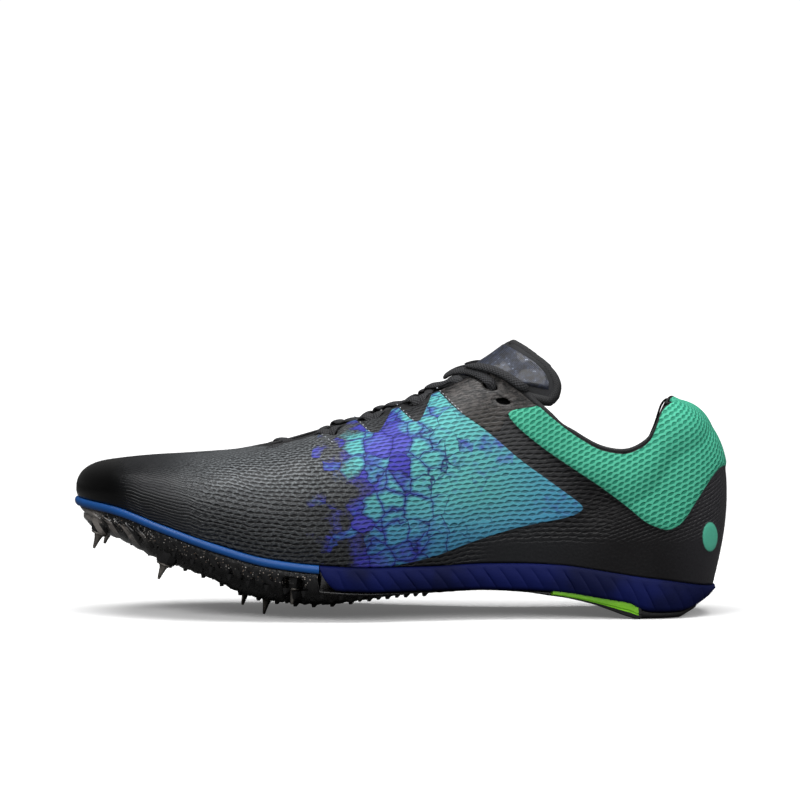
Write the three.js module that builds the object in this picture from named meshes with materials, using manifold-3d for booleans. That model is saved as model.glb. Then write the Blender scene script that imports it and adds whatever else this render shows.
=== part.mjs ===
// Track spike shoe, left foot, in millimetres. +Z is up, the toe points to -X and the
// lateral (outer) side faces -Y. The origin is the flat spot under the heel.
import * as THREE from 'three';
import { LoftGeometry } from 'three/addons/geometries/LoftGeometry.js';
import { mergeVertices } from 'three/addons/utils/BufferGeometryUtils.js';
import Module from 'manifold-3d';

const wasm = await Module();
wasm.setup();

// Driving sizes of the whole shoe
const LENGTH = 282;            // toe tip to heel back
const HEEL_BACK = 32;          // origin to heel back
const HEEL_BULGE = 5.8;        // how far the heel stands out behind its seam with the sole
const BALL_WIDTH = 92;         // across the feather line at the ball
const HEEL_WIDTH = 62;         // across the feather line at the heel
const INSTEP_HEIGHT = 107;     // floor to the top eyelet row
const TOE_SPRING = 50;         // floor to the feather line at the toe tip
const HEEL_HEIGHT = 92.5;      // floor to the top of the heel collar
const TOE_ROUND = 62;          // length over which the toe outline rounds in
const HEEL_ROUND = 32;         // length over which the heel outline rounds in
const WALL_FRONT = 1.6;        // upper wall at toe and vamp
const WALL_HEEL = 3.6;         // padded upper wall at heel and collar
const FIT_GAP = 0.3;           // gap between neighbouring curved pieces

// Stretches of the length, shares of the sole seam's length from and to
const WAIST = [0.45, 0.75];    // ball width runs into heel width
const PADDING = [0.62, 0.8];   // thin wall runs into padded wall
const BULGE = [0.86, 1];       // heel stands out behind its seam
const HEEL_ARC = [0.9, 1];     // midsole ribs run out round the heel

// Upper details
const RIB_POWER = 2.5;         // roundness of the upper's cross-sections
const SPINE_TOE = 0.077;       // front end of the upper's ridge line, share of the sole seam's length
const SPINE_HEEL = 0.881;      // back end of the ridge line, share of the sole seam's length
const THROAT_FRONT = 0.296;    // front of the lacing slot, share of the sole seam's length
const THROAT_BACK = 0.653;     // where the slot runs out into the collar opening
const THROAT_WIDTH_FRONT = 20;
const THROAT_WIDTH_BACK = 30;
const THROAT_FLOOR = 0.62;     // the slot is cut down to this share of HEEL_HEIGHT
const TONGUE_THICK = 2.6;
const TONGUE_GAP = 0.5;        // tongue to the inside of the upper
const INSOLE_THICK = 3;
const SKIN = 0.7;              // thickness of a bonded overlay
const OVERLAY_SPLIT = 4;       // overlays of one flank stay this far off the middle

// Sole details
const RIM_THICK = 3.5;         // foam rim of the forefoot
const RIM_FLARE = 1.4;         // how far the rim stands out past the upper
const RIM_ROUND = [0.6, 0.3];  // edge's share of the flare, and depth of its round, share of the rim
const RIM_END = 0.383;         // where the rim meets the midsole, share of the sole seam's length
const MIDSOLE_FLARE = 1.6;
const RIB_PITCH = 6.6;         // slanted ribs along the midsole side
const RIB_DEPTH = 1.0;
const RIB_SLANT = 8;           // backward lean of a rib from top to bottom edge
const RIB_FADE = 0.05;         // share over which the lean grows at the midsole's front
const RIB_ROUND = 0.6;         // less is a rounder rib with a narrower groove
const RIB_STEPS = 3;           // sections to a rib
const PLATE_END = 0.743;       // back end of the spike plate, share of the sole seam's length
const PLATE_INSET = 1.2;       // plate edge inside the rim's edge
const PLATE_STEPS = 16;        // sections of the plate behind the rim
const KEEL_INWARD = 0.5;       // place of the keel line between edge and middle
const LUG_HEIGHT = 2.2;
const LUG_PITCH = 8;
const LUG_RADIUS = 2.6;
const LUGS_FROM = 0.2;         // first and last lug, shares of the sole seam's length
const LUGS_TO = 0.58;
const LUG_ROWS = [0.12, 0.42]; // places of the two rows between edge and middle
const BOSS_LENGTH = 9;
const BOSS_FOOT = 3.78;        // radius of a boss at its spike
const BOSS_ROOT = 5.4;         // and where it grows out of the plate
const PIN_LENGTH = 6.4;        // quarter inch spikes
const PIN_RADIUS = 2.0;
const PIN_TIP = 0.6;
const PIN_SIDES = 10;
const PIN_FLANGE = 3.6;
const PIN_FLANGE_THICK = 1.2;
const ARCH_END = 0.884;        // back end of the arch piece, share of the sole seam's length
const HEEL_TREAD_END = 0.986;  // back end of the heel tread
const UNDER_INSET = 1.2;       // arch piece and heel tread inside the midsole's edge
const UNDER_TAPER = 1.7;       // and inside it at their underside
const UNDER_STEPS = 14;

// Laces
const LACE_RADIUS = 1.9;
const TOP_HOLE = 0.648;        // top lace hole, share of the sole seam's length
const TOP_HOLE_TURN = 0.52;    // and how far round the dome it lies
const LACE_END_TURN = 0.88;    // where an end leaves the last crossing
const LACE_TURN = 0.80;        // how far down from the ridge the lace reaches
const LACE_STEPS = 6;
const LACE_SIDES = 4;          // sides of half a lace's section
const NUDGE = 0.001;           // small step along the dome, a share

// Rows of numbers under named columns.
function table(columns, rows) {
  const names = columns.split(' ');
  return rows.map((row) => Object.fromEntries(names.map((name, i) => [name, row[i]])));
}

// A row for each section of the last. Shares: at of the sole seam; lateral and medial of the
// local width (ball or heel); feather of TOE_SPRING; ridge of INSTEP_HEIGHT; tuck and rise of
// the local width; lean of BALL_WIDTH, the ridge's place towards the medial side.
const LAST = table('at lateral medial feather ridge tuck rise lean', [
  [0.000, 0.36, 0.42, 1.0058, 0.600, 0.008, 0.03, 0.080],
  [0.059, 0.40, 0.45, 0.96728, 0.615, 0.014, 0.06, 0.080],
  [0.141, 0.44, 0.46, 0.8239, 0.635, 0.018, 0.09, 0.070],
  [0.223, 0.475, 0.465, 0.6741, 0.648, 0.022, 0.12, 0.060],
  [0.305, 0.50, 0.475, 0.55212, 0.680, 0.026, 0.14, 0.050],
  [0.387, 0.51, 0.455, 0.49648, 0.744, 0.030, 0.16, 0.040],
  [0.469, 0.49, 0.400, 0.47508, 0.820, 0.034, 0.18, 0.030],
  [0.551, 0.46, 0.345, 0.47508, 0.914, 0.038, 0.20, 0.020],
  [0.633, 0.465, 0.33, 0.49006, 1.045, 0.040, 0.24, 0.012],
  [0.694, 0.485, 0.36, 0.48792, 1.135, 0.042, 0.28, 0.006],
  [0.756, 0.505, 0.41, 0.47294, 1.125, 0.042, 0.34, 0.000],
  [0.838, 0.505, 0.465, 0.4066, 0.975, 0.042, 0.44, 0.000],
  [0.880, 0.503, 0.48, 0.36808, 0.872, 0.036, 0.50, 0.000],
  [0.920, 0.50, 0.49, 0.33812, 0.866, 0.030, 0.54, 0.000],
  [1.000, 0.50, 0.50, 0.25252, 0.860, 0.000, 0.62, 0.000],
]);

// The collar line seen from the side, front to back. Shares: at of the sole seam, up of HEEL_HEIGHT.
const COLLAR = table('at up', [
  [0.610, 1.165],
  [0.648, 1.137],
  [0.683, 1.085],
  [0.704, 1.038],
  [0.743, 0.937],
  [0.787, 0.840],
  [0.824, 0.785],
  [0.854, 0.772],
  [0.882, 0.801],
  [0.895, 0.835],
  [0.906, 0.902],
  [0.913, 0.958],
  [0.926, 0.990],
  [0.943, 1.002],
]);

// The tongue seen from the side. Shares: at of the sole seam, up of HEEL_HEIGHT.
const TONGUE = table('at up', [
  [0.305, 0.60],
  [0.305, 1.50],
  [0.676, 1.50],
  [0.684, 1.2812],
  [0.752, 1.1410],
  [0.759, 1.1080],
  [0.759, 1.0750],
  [0.740, 0.9980],
  [0.704, 0.90],
  [0.530, 0.80],
]);

// Outlines of the bonded overlays from the side. Shares: at of the sole seam, up of
// HEEL_HEIGHT. The quarter skin has a tooth at each lace hole.
const QUARTER_SKIN = table('at up', [
  [0.383, 0.815],
  [0.402, 0.792],
  [0.416, 0.905],
  [0.433, 0.920],
  [0.460, 0.845],
  [0.478, 0.845],
  [0.484, 0.970],
  [0.500, 0.975],
  [0.530, 0.893],
  [0.539, 0.893],
  [0.545, 1.030],
  [0.564, 1.055],
  [0.595, 0.954],
  [0.656, 0.822],
  [0.741, 0.622],
  [0.795, 0.510],
  [0.793, 0.477],
  [0.697, 0.405],
  [0.612, 0.322],
  [0.560, 0.262],
  [0.400, 0.270],
  [0.375, 0.560],
]);
const EYESTAY_FILM = table('at up', [
  [0.572, 1.046],
  [0.600, 1.220],
  [0.760, 1.220],
  [0.728, 0.976],
  [0.696, 0.962],
  [0.669, 0.930],
  [0.664, 0.822],
  [0.601, 0.950],
]);
const COLLAR_PANEL = table('at up', [
  [0.676, 0.925],
  [0.697, 0.951],
  [0.730, 0.966],
  [0.760, 1.220],
  [1.100, 1.220],
  [1.100, 0.690],
  [1.012, 0.695],
  [0.976, 0.540],
  [0.952, 0.425],
  [0.929, 0.383],
  [0.901, 0.415],
  [0.862, 0.505],
  [0.823, 0.594],
  [0.769, 0.697],
  [0.697, 0.856],
]);

// Sole depths below the feather line. Shares: at of the sole seam, the rest of TOE_SPRING.
// edge is the spike plate at its sides, keel its lowest line, mid the midsole's side.
const SOLE = table('at edge keel mid', [
  [0.000, 0.03, 0.05, 0.200],
  [0.028, 0.08, 0.17, 0.200],
  [0.080, 0.12, 0.23, 0.200],
  [0.131, 0.13, 0.27, 0.200],
  [0.203, 0.15, 0.27, 0.200],
  [0.264, 0.17, 0.32, 0.200],
  [0.325, 0.17, 0.32, 0.200],
  [0.387, 0.18, 0.30, 0.210],
  [0.469, 0.17, 0.22, 0.214],
  [0.551, 0.155, 0.17, 0.210],
  [0.633, 0.155, 0.165, 0.222],
  [0.700, 0.175, 0.18, 0.232],
  [0.746, 0.20, 0.205, 0.236],
  [0.804, 0.22, 0.23, 0.244],
  [0.862, 0.22, 0.23, 0.244],
  [0.880, 0.22, 0.23, 0.276],
  [0.896, 0.22, 0.23, 0.288],
  [0.940, 0.22, 0.23, 0.256],
  [0.959, 0.22, 0.23, 0.214],
  [0.975, 0.22, 0.23, 0.160],
  [0.989, 0.22, 0.23, 0.098],
  [1.000, 0.22, 0.23, 0.040],
]);

// Bulge of the midsole's side. Shares: out of MIDSOLE_FLARE, down of the midsole's depth.
const MIDSOLE_BULGE = table('out down', [
  [0.8, 0.15],
  [1, 0.5],
  [0.5, 0.85],
]);

// Height of the tread's underside over the floor. Shares: at of the sole seam, low of the
// height of the midsole's underside.
const TREAD = table('at low', [
  [0.740, 0.870],
  [0.746, 0.866],
  [0.775, 0.820],
  [0.804, 0.735],
  [0.833, 0.508],
  [0.862, 0.171],
  [0.880, 0.000],
  [0.940, 0.000],
  [0.959, 0.470],
  [0.975, 0.646],
  [0.989, 0.751],
]);

// Spikes. Shares: at of the sole seam, across of BALL_WIDTH (medial positive), tip of
// TOE_SPRING over the floor. tilt leans the point forward, in degrees.
const PINS = table('name at across tip tilt', [
  ['toe_lateral', 0.036, -0.08, 0.565, 21],
  ['toe_medial', 0.046, 0.26, 0.550, 21],
  ['front_lateral', 0.141, -0.30, 0.335, 22],
  ['front_medial', 0.148, 0.36, 0.320, 22],
  ['ball_medial', 0.262, 0.32, 0.000, 14],
  ['ball_centre', 0.299, -0.10, 0.000, 12],
  ['ball_lateral', 0.343, -0.38, 0.135, 8],
]);

// Rows of lace holes up the throat, shares of the sole seam.
const LACE_ROWS = [0.312, 0.398, 0.459, 0.525, 0.584];

// Value of a table's column at a share of the length, on a smooth monotone curve.
function along(table, column, share) {
  const last = table.length - 1;
  let i = 0;
  while (i < last - 1 && share > table[i + 1].at) i += 1;
  const slope = (a, b) => (table[b][column] - table[a][column]) / (table[b].at - table[a].at);
  const here = slope(i, i + 1);
  const before = i > 0 ? slope(i - 1, i) : here;
  const after = i < last - 1 ? slope(i + 1, i + 2) : here;
  const tangent = (p, q) => (p * q <= 0 ? 0 : (2 * p * q) / (p + q));
  const width = table[i + 1].at - table[i].at;
  const t = THREE.MathUtils.clamp((share - table[i].at) / width, 0, 1);
  const start = tangent(before, here) * width;
  const end = tangent(here, after) * width;
  const rise = table[i + 1][column] - table[i][column];
  return table[i][column] + start * t + (3 * rise - 2 * start - end) * t ** 2
    + (start + end - 2 * rise) * t ** 3;
}

const LACE_LIFT = SKIN + 2 * FIT_GAP;  // lace to the upper's surface, clear of a skin on it

const SEAM_BACK = HEEL_BACK - HEEL_BULGE;
const SEAM_LENGTH = LENGTH - HEEL_BULGE - RIM_FLARE / 2;
const xAt = (share) => SEAM_BACK - SEAM_LENGTH * (1 - share);
const shareAt = (x) => 1 - (SEAM_BACK - x) / SEAM_LENGTH;
const localWidth = (share) => THREE.MathUtils.lerp(
  BALL_WIDTH, HEEL_WIDTH, THREE.MathUtils.smoothstep(share, ...WAIST));

// How much of its full width the outline has where toe and heel round in.
function endRound(share) {
  const toe = Math.min(1, (share * SEAM_LENGTH) / TOE_ROUND);
  const heel = Math.min(1, ((1 - share) * SEAM_LENGTH) / HEEL_ROUND);
  return Math.sqrt(1 - (1 - toe) ** 2) * Math.sqrt(1 - (1 - heel) ** 2);
}

const ridgeY = (share) => along(LAST, 'lean', share) * BALL_WIDTH;

// Sideways place of the feather line, side -1 lateral or 1 medial.
function edgeY(share, side) {
  const column = side < 0 ? 'lateral' : 'medial';
  const middle = ridgeY(share);
  const full = side * along(LAST, column, share) * localWidth(share) - middle;
  return middle + full * endRound(share);
}

// The plan's spine point that a station's rib runs to.
const spineAt = (share) => SPINE_TOE + (SPINE_HEEL - SPINE_TOE) * share;
const spinePoint = (share) => new THREE.Vector2(xAt(spineAt(share)), ridgeY(spineAt(share)));

// Plan point of the feather line, moved away from the spine by grow.
function footPoint(share, side, grow) {
  const base = new THREE.Vector2(xAt(share), edgeY(share, side));
  const out = base.clone().sub(spinePoint(share)).normalize();
  return base.addScaledVector(out, grow);
}

const featherZ = (share) => along(LAST, 'feather', share) * TOE_SPRING;

// Closed manifold solid of a geometry: its vertices are merged and collapsed faces dropped.
function solidOf(geometry) {
  const plain = new THREE.BufferGeometry();
  plain.setAttribute('position', geometry.attributes.position);
  plain.setIndex(geometry.index);
  const merged = mergeVertices(plain, 1e-4);
  const index = merged.index.array;
  const faces = [];
  for (let i = 0; i < index.length; i += 3) {
    const [a, b, c] = index.slice(i, i + 3);
    if (a !== b && b !== c && c !== a) faces.push(a, b, c);
  }
  return new wasm.Manifold(new wasm.Mesh({
    numProp: 3,
    vertProperties: new Float32Array(merged.attributes.position.array),
    triVerts: new Uint32Array(faces),
  }));
}

function meshOf(name, solid, material) {
  const mesh = solid.getMesh();
  const geometry = new THREE.BufferGeometry();
  geometry.setAttribute('position', new THREE.BufferAttribute(new Float32Array(mesh.vertProperties), 3));
  geometry.setIndex(new THREE.BufferAttribute(new Uint32Array(mesh.triVerts), 1));
  geometry.computeVertexNormals();
  const node = new THREE.Mesh(geometry, material);
  node.name = name;
  return node;
}

// A solid extruded sideways from a side-view outline given in millimetres (x, z).
function sidePrism(outline, from, to) {
  const shape = new THREE.Shape(outline.map(([x, z]) => new THREE.Vector2(x, z)));
  const prism = new THREE.ExtrudeGeometry(shape, { depth: to - from, bevelEnabled: false });
  prism.rotateX(Math.PI / 2);
  prism.translate(0, to, 0);
  return solidOf(prism);
}

const STATIONS = 28;           // per side of the upper, closer together at toe and heel
const LAST_SHARES = Array.from({ length: STATIONS + 1 },
  (_, i) => (1 - Math.cos((Math.PI * i) / STATIONS)) / 2);
const HEM = 8;                 // forms run on past the feather line before they are trimmed
const TIP = 0.002;             // least distance between two stations, share of the sole seam's length
const FOOT_LEVELS = 3;         // from the feather line to the widest line
const DOME_LEVELS = 7;         // from the widest line to the ridge

// The widest line's plan point and height on a station's rib.
function widest(share, side, grow) {
  const width = localWidth(share);
  const bulge = HEEL_BULGE * THREE.MathUtils.smoothstep(share, ...BULGE);
  const tuck = along(LAST, 'tuck', share) * width + bulge;
  return { tuck, rise: along(LAST, 'rise', share) * width, plan: footPoint(share, side, grow + tuck) };
}

// A point of the upper's dome. turn goes from 0 at the widest line to 1 at the ridge.
function domePoint(share, side, turn, grow) {
  const { rise, plan } = widest(share, side, grow);
  const angle = (Math.PI / 2) * turn;
  const inward = turn === 1 ? 1 : 1 - Math.cos(angle) ** (2 / RIB_POWER);
  const upward = Math.sin(angle) ** (2 / RIB_POWER);
  const top = along(LAST, 'ridge', spineAt(share)) * INSTEP_HEIGHT + grow;
  const at = plan.lerp(spinePoint(share), inward);
  return new THREE.Vector3(at.x, at.y, THREE.MathUtils.lerp(featherZ(share) + rise, top, upward));
}

// One rib of the upper's form, from the feather line up to the ridge line.
function ribOf(share, side, grow, drop) {
  const { tuck, rise } = widest(share, side, grow);
  const foot = featherZ(share);
  const hem = footPoint(share, side, grow);
  const points = [new THREE.Vector3(hem.x, hem.y, foot - drop)];
  for (let i = 0; i < FOOT_LEVELS; i += 1) {
    const t = i / FOOT_LEVELS;
    const plan = footPoint(share, side, grow + tuck * Math.sin(t * Math.PI / 2));
    points.push(new THREE.Vector3(plan.x, plan.y, foot + rise * t));
  }
  for (let i = 0; i <= DOME_LEVELS; i += 1) {
    points.push(domePoint(share, side, i / DOME_LEVELS, grow));
  }
  return points;
}

// The whole closed form of the last, grown by a distance that depends on the share and
// carried down past the feather line by drop.
function lastForm(growAt, drop) {
  const ribs = [];
  for (let k = 0; k < 2 * STATIONS; k += 1) {
    const side = k <= STATIONS ? -1 : 1;
    const share = LAST_SHARES[k <= STATIONS ? k : 2 * STATIONS - k];
    ribs.push(ribOf(share, side, growAt(share), drop));
  }
  const rings = ribs[0].map((_, level) => ribs.map((rib) => rib[level]));
  return solidOf(new LoftGeometry(rings, { closed: true, capStart: true }));
}

const wallAt = (share) => THREE.MathUtils.lerp(
  WALL_FRONT, WALL_HEEL, THREE.MathUtils.smoothstep(share, ...PADDING));

const tableLine = (table) => table.map(({ at, up }) => [xAt(at), up * HEEL_HEIGHT]);

// The opening for the foot: everything over the collar line.
function collarCutter() {
  const line = tableLine(COLLAR);
  const clear = 2 * HEEL_HEIGHT;
  const outline = [[line[0][0], clear], ...line, [line[line.length - 1][0], clear]];
  return sidePrism(outline, -BALL_WIDTH, BALL_WIDTH);
}

// The lacing slot, seen from above, cut straight down through the vamp.
function throatCutter() {
  const front = xAt(THROAT_FRONT);
  const back = xAt(THROAT_BACK);
  const shape = new THREE.Shape();
  const radius = THROAT_WIDTH_FRONT / 2;
  shape.moveTo(back, ridgeY(THROAT_BACK) - THROAT_WIDTH_BACK / 2);
  shape.lineTo(back, ridgeY(THROAT_BACK) + THROAT_WIDTH_BACK / 2);
  shape.lineTo(front + radius, ridgeY(THROAT_FRONT) + radius);
  shape.absarc(front + radius, ridgeY(THROAT_FRONT), radius, Math.PI / 2, Math.PI * 1.5, false);
  shape.closePath();
  const slot = new THREE.ExtrudeGeometry(shape, {
    curveSegments: 8, depth: HEEL_HEIGHT, bevelEnabled: false,
  });
  slot.translate(0, 0, HEEL_HEIGHT * THROAT_FLOOR);
  return solidOf(slot);
}

// Everything under the feather line.
const belowCutter = () => soleLayer(LAST_SHARES, () => [
  { grow: HEM, z: featherZ },
  { grow: HEM, z: (at) => featherZ(at) - 2 * HEM },
]);

function upper(material) {
  const outer = lastForm(() => 0, HEM);
  const inner = lastForm((share) => -wallAt(share), 2 * HEM);
  const solid = outer.subtract(inner).subtract(belowCutter())
    .subtract(collarCutter()).subtract(throatCutter());
  return meshOf('upper', solid, material);
}

function tongue(material) {
  const outside = (share) => -wallAt(share) - TONGUE_GAP;
  const inside = (share) => outside(share) - TONGUE_THICK;
  const shell = lastForm(outside, HEM).subtract(lastForm(inside, 2 * HEM));
  const blank = sidePrism(tableLine(TONGUE), -BALL_WIDTH, BALL_WIDTH);
  return meshOf('tongue', shell.intersect(blank), material);
}

// Shares of the length for the sections of a sole piece, in equal steps.
function evenShares(from, to, steps) {
  return Array.from({ length: steps + 1 }, (_, i) => THREE.MathUtils.lerp(from, to, i / steps));
}

// The upper's own stations from one share to another, with both ends.
const stationShares = (from, to) => [
  from, ...LAST_SHARES.filter((share) => share > from + TIP && share < to - TIP), to];

// A layer lofted along the length. half(share) lists its half section from the top edge
// down: grow moves a point out from the feather line, inward pulls it to the middle and
// slide moves it back. The other side is its mirror. At toe tip and heel back it closes.
function soleLayer(shares, half) {
  const place = (share, side, { grow = 0, inward = 0, slide = 0, z }) => {
    const at = Math.min(1, share + slide / SEAM_LENGTH);
    const plan = footPoint(at, side, grow);
    plan.y = THREE.MathUtils.lerp(plan.y, ridgeY(at), inward);
    return new THREE.Vector3(plan.x, plan.y, z(shareAt(plan.x)));
  };
  const rings = shares.map((share) => {
    const points = half(share);
    const lateral = points.map((point) => place(share, -1, point));
    const medial = points.map((point) => place(share, 1, point));
    return [...lateral, ...medial.reverse()];
  });
  const capStart = shares[0] > 0;
  const capEnd = shares[shares.length - 1] < 1;
  return solidOf(new LoftGeometry(rings, { closed: true, capStart, capEnd }));
}

function insole(material) {
  const layer = soleLayer(LAST_SHARES, (share) => {
    const grow = -(wallAt(share) + 2 * FIT_GAP);
    return [
      { grow, z: (at) => featherZ(at) + INSOLE_THICK },
      { grow, z: featherZ },
    ];
  });
  return meshOf('insole', layer, material);
}

const soleTop = (share) => featherZ(share) - FIT_GAP;

function forefootRim(material) {
  const [flare, round] = RIM_ROUND;
  const layer = soleLayer(stationShares(0, RIM_END), () => [
    { grow: RIM_FLARE * flare, z: soleTop },
    { grow: RIM_FLARE, z: (at) => soleTop(at) - RIM_THICK * round },
    { grow: RIM_FLARE, z: (at) => soleTop(at) - RIM_THICK * (1 - round) },
    { grow: RIM_FLARE * flare, z: (at) => soleTop(at) - RIM_THICK },
  ]);
  return meshOf('forefoot_rim', layer, material);
}

const depthAt = (column, share) => along(SOLE, column, share) * TOE_SPRING;
const midsoleBottom = (share) => soleTop(share) - depthAt('mid', share);

// Top of the spike plate: under the rim at the forefoot, under the midsole behind it.
const plateTopFront = (share) => soleTop(share) - RIM_THICK - FIT_GAP;
const plateTopBack = (share) => midsoleBottom(share) - FIT_GAP;

const plateEdge = (at) => plateTopFront(at) - depthAt('edge', at);
const plateKeel = (at) => plateTopFront(at) - depthAt('keel', at);

// A round boss on the plate that takes a spike's flange.
function pinBoss(pin) {
  const start = PIN_LENGTH + PIN_FLANGE_THICK + FIT_GAP;
  const boss = new THREE.CylinderGeometry(BOSS_ROOT, BOSS_FOOT, BOSS_LENGTH, PIN_SIDES);
  boss.rotateX(Math.PI / 2);
  boss.translate(0, 0, start + BOSS_LENGTH / 2);
  const holder = new THREE.Object3D();
  placeOnPin(holder, pin);
  boss.applyMatrix4(holder.matrix);
  return solidOf(boss);
}

// The open pocket round a spike, so that its flange stays clear of the plate.
function pinWell(pin) {
  const seat = PIN_LENGTH + PIN_FLANGE_THICK + FIT_GAP;
  const well = new THREE.CylinderGeometry(PIN_FLANGE + FIT_GAP, PIN_FLANGE + FIT_GAP, seat, PIN_SIDES);
  well.rotateX(Math.PI / 2);
  well.translate(0, 0, seat / 2);
  const holder = new THREE.Object3D();
  placeOnPin(holder, pin);
  well.applyMatrix4(holder.matrix);
  return solidOf(well);
}

// A small pointed tread lug under the plate.
function lug(at, side, inward) {
  const cone = new THREE.ConeGeometry(LUG_RADIUS, LUG_HEIGHT * 2, 4);
  cone.rotateX(-Math.PI / 2);
  const plan = footPoint(at, side, -PLATE_INSET * 2);
  const y = THREE.MathUtils.lerp(plan.y, ridgeY(at), inward);
  const z = THREE.MathUtils.lerp(plateEdge(at), plateKeel(at), inward / KEEL_INWARD);
  cone.translate(plan.x, y, z);
  return solidOf(cone);
}

function spikePlate(material) {
  const back = RIM_END + FIT_GAP / SEAM_LENGTH;
  const shares = [...stationShares(0, RIM_END), ...evenShares(back, PLATE_END, PLATE_STEPS)];
  const body = soleLayer(shares, (share) => [
    { grow: -PLATE_INSET, z: share < back ? plateTopFront : plateTopBack },
    { grow: -PLATE_INSET * 2, z: plateEdge },
    { inward: KEEL_INWARD, z: plateKeel },
  ]);
  const above = soleLayer(shares, (share) => [
    { grow: HEM, z: (at) => featherZ(at) + HEM },
    { grow: HEM, z: share < back ? plateTopFront : plateTopBack },
  ]);
  let solid = PINS.reduce((sum, pin) => sum.add(pinBoss(pin)), body);
  const step = LUG_PITCH / SEAM_LENGTH;
  const [outer, inner] = LUG_ROWS;
  for (let at = LUGS_FROM; at < LUGS_TO; at += step) {
    for (const side of [-1, 1]) {
      solid = solid.add(lug(at, side, outer)).add(lug(at + step / 2, side, inner));
    }
  }
  solid = PINS.reduce((rest, pin) => rest.subtract(pinWell(pin)), solid.subtract(above));
  return meshOf('spike_plate', solid, material);
}

function midsole(material) {
  const from = RIM_END + FIT_GAP / SEAM_LENGTH;
  const ribs = Math.floor(((1 - from) * SEAM_LENGTH) / RIB_PITCH);
  const shares = evenShares(from, 1, ribs * RIB_STEPS);
  const layer = soleLayer(shares, (share) => {
    const phase = ((share - from) / (1 - from)) * ribs;
    const hollow = RIB_DEPTH * (1 - Math.abs(Math.sin(Math.PI * phase)) ** RIB_ROUND);
    const ends = THREE.MathUtils.smoothstep(share, from, from + RIB_FADE)
      * (1 - THREE.MathUtils.smoothstep(share, ...HEEL_ARC));
    const step = (grow, down) => ({
      grow: grow * MIDSOLE_FLARE - hollow,
      slide: RIB_SLANT * down * ends,
      z: (at) => soleTop(at) - depthAt('mid', at) * down,
    });
    return [
      { grow: 0, z: soleTop },
      ...MIDSOLE_BULGE.map(({ out, down }) => step(out, down)),
      { grow: -MIDSOLE_FLARE, z: midsoleBottom, slide: RIB_SLANT * ends },
    ];
  });
  return meshOf('midsole', layer, material);
}

// An overlay bonded to the upper: a skin between two grown forms, cut to its outline
// from the side. side is -1 or 1 for one flank, 0 for a piece that runs round the heel.
function overlay(name, outline, side, material) {
  const skin = lastForm(() => FIT_GAP + SKIN, HEM).subtract(lastForm(() => FIT_GAP, 2 * HEM));
  const from = side > 0 ? OVERLAY_SPLIT : -BALL_WIDTH;
  const to = side < 0 ? -OVERLAY_SPLIT : BALL_WIDTH;
  const blank = sidePrism(tableLine(outline), from, to);
  const cut = skin.intersect(blank).subtract(belowCutter())
    .subtract(collarCutter()).subtract(throatCutter());
  return meshOf(name, largest(cut), material);
}

// The biggest of a solid's separate pieces.
const largest = (solid) => solid.decompose().sort((a, b) => b.volume() - a.volume())[0];

// The spine share's own station, for a row of lace holes.
const stationOf = (at) => (at - SPINE_TOE) / (SPINE_HEEL - SPINE_TOE);

// A lace run over the throat from one hole to another, lifted clear of upper and tongue.
function laceRun(fromRow, fromSide, toRow, lift) {
  const points = evenShares(-1, 1, LACE_STEPS).map((t) => {
    const at = THREE.MathUtils.lerp(fromRow, toRow, (t + 1) / 2);
    const side = t > 0 ? -fromSide : fromSide;
    const turn = 1 - (1 - LACE_TURN) * Math.abs(t);
    return domePoint(stationOf(at), side, turn, LACE_RADIUS + LACE_LIFT + lift * (1 - t * t));
  });
  return laceTube(points);
}

function laceTube(points) {
  const curve = new THREE.CatmullRomCurve3(points);
  const section = new THREE.Shape();
  section.absarc(0, 0, LACE_RADIUS, 0, Math.PI * 2, false);
  const tube = new THREE.ExtrudeGeometry(section, {
    steps: LACE_STEPS, curveSegments: LACE_SIDES, extrudePath: curve,
  });
  return solidOf(tube);
}

// The crossings of the lace, joined where they cross, from the front bar up the throat.
function laceCrossings(material) {
  let solid = laceRun(LACE_ROWS[0], -1, LACE_ROWS[0], 0);
  for (let i = 1; i < LACE_ROWS.length; i += 1) {
    solid = solid.add(laceRun(LACE_ROWS[i - 1], -1, LACE_ROWS[i], 0));
    solid = solid.add(laceRun(LACE_ROWS[i - 1], 1, LACE_ROWS[i], LACE_RADIUS));
  }
  return meshOf('lace_crossings', solid, material);
}

// A point straight off the upper's dome by a distance.
function offDome(share, side, turn, lift) {
  const at = domePoint(share, side, turn, 0);
  const back = domePoint(share + NUDGE, side, turn, 0).sub(at);
  const up = domePoint(share, side, turn + NUDGE, 0).sub(at);
  return at.addScaledVector(back.cross(up).normalize(), -side * lift);
}

// The lace's end on one side, from the last crossing to the top hole in the eyestay film.
function laceEnd(name, side, material) {
  const start = LACE_ROWS[LACE_ROWS.length - 1] + (2 * LACE_RADIUS + FIT_GAP) / SEAM_LENGTH;
  const points = evenShares(0, 1, LACE_STEPS).map((t) => offDome(
    stationOf(THREE.MathUtils.lerp(start, TOP_HOLE, t)), side,
    THREE.MathUtils.lerp(LACE_END_TURN, TOP_HOLE_TURN, t), LACE_RADIUS + LACE_LIFT));
  return meshOf(name, laceTube(points), material);
}

// A flat-tipped spike on its round flange, standing on its tip at the origin.
function spike(name, { at, across, tip, tilt }, material) {
  const seat = PIN_LENGTH + PIN_FLANGE_THICK;
  const profile = [[0, 0], [PIN_TIP, 0], [PIN_RADIUS, PIN_LENGTH], [PIN_FLANGE, PIN_LENGTH],
    [PIN_FLANGE, seat], [0, seat]];
  const cone = new THREE.LatheGeometry(profile.map(([r, z]) => new THREE.Vector2(r, z)), PIN_SIDES);
  cone.rotateX(Math.PI / 2);
  const node = meshOf(name, solidOf(cone), material);
  placeOnPin(node, { at, across, tip, tilt });
  return node;
}

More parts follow.
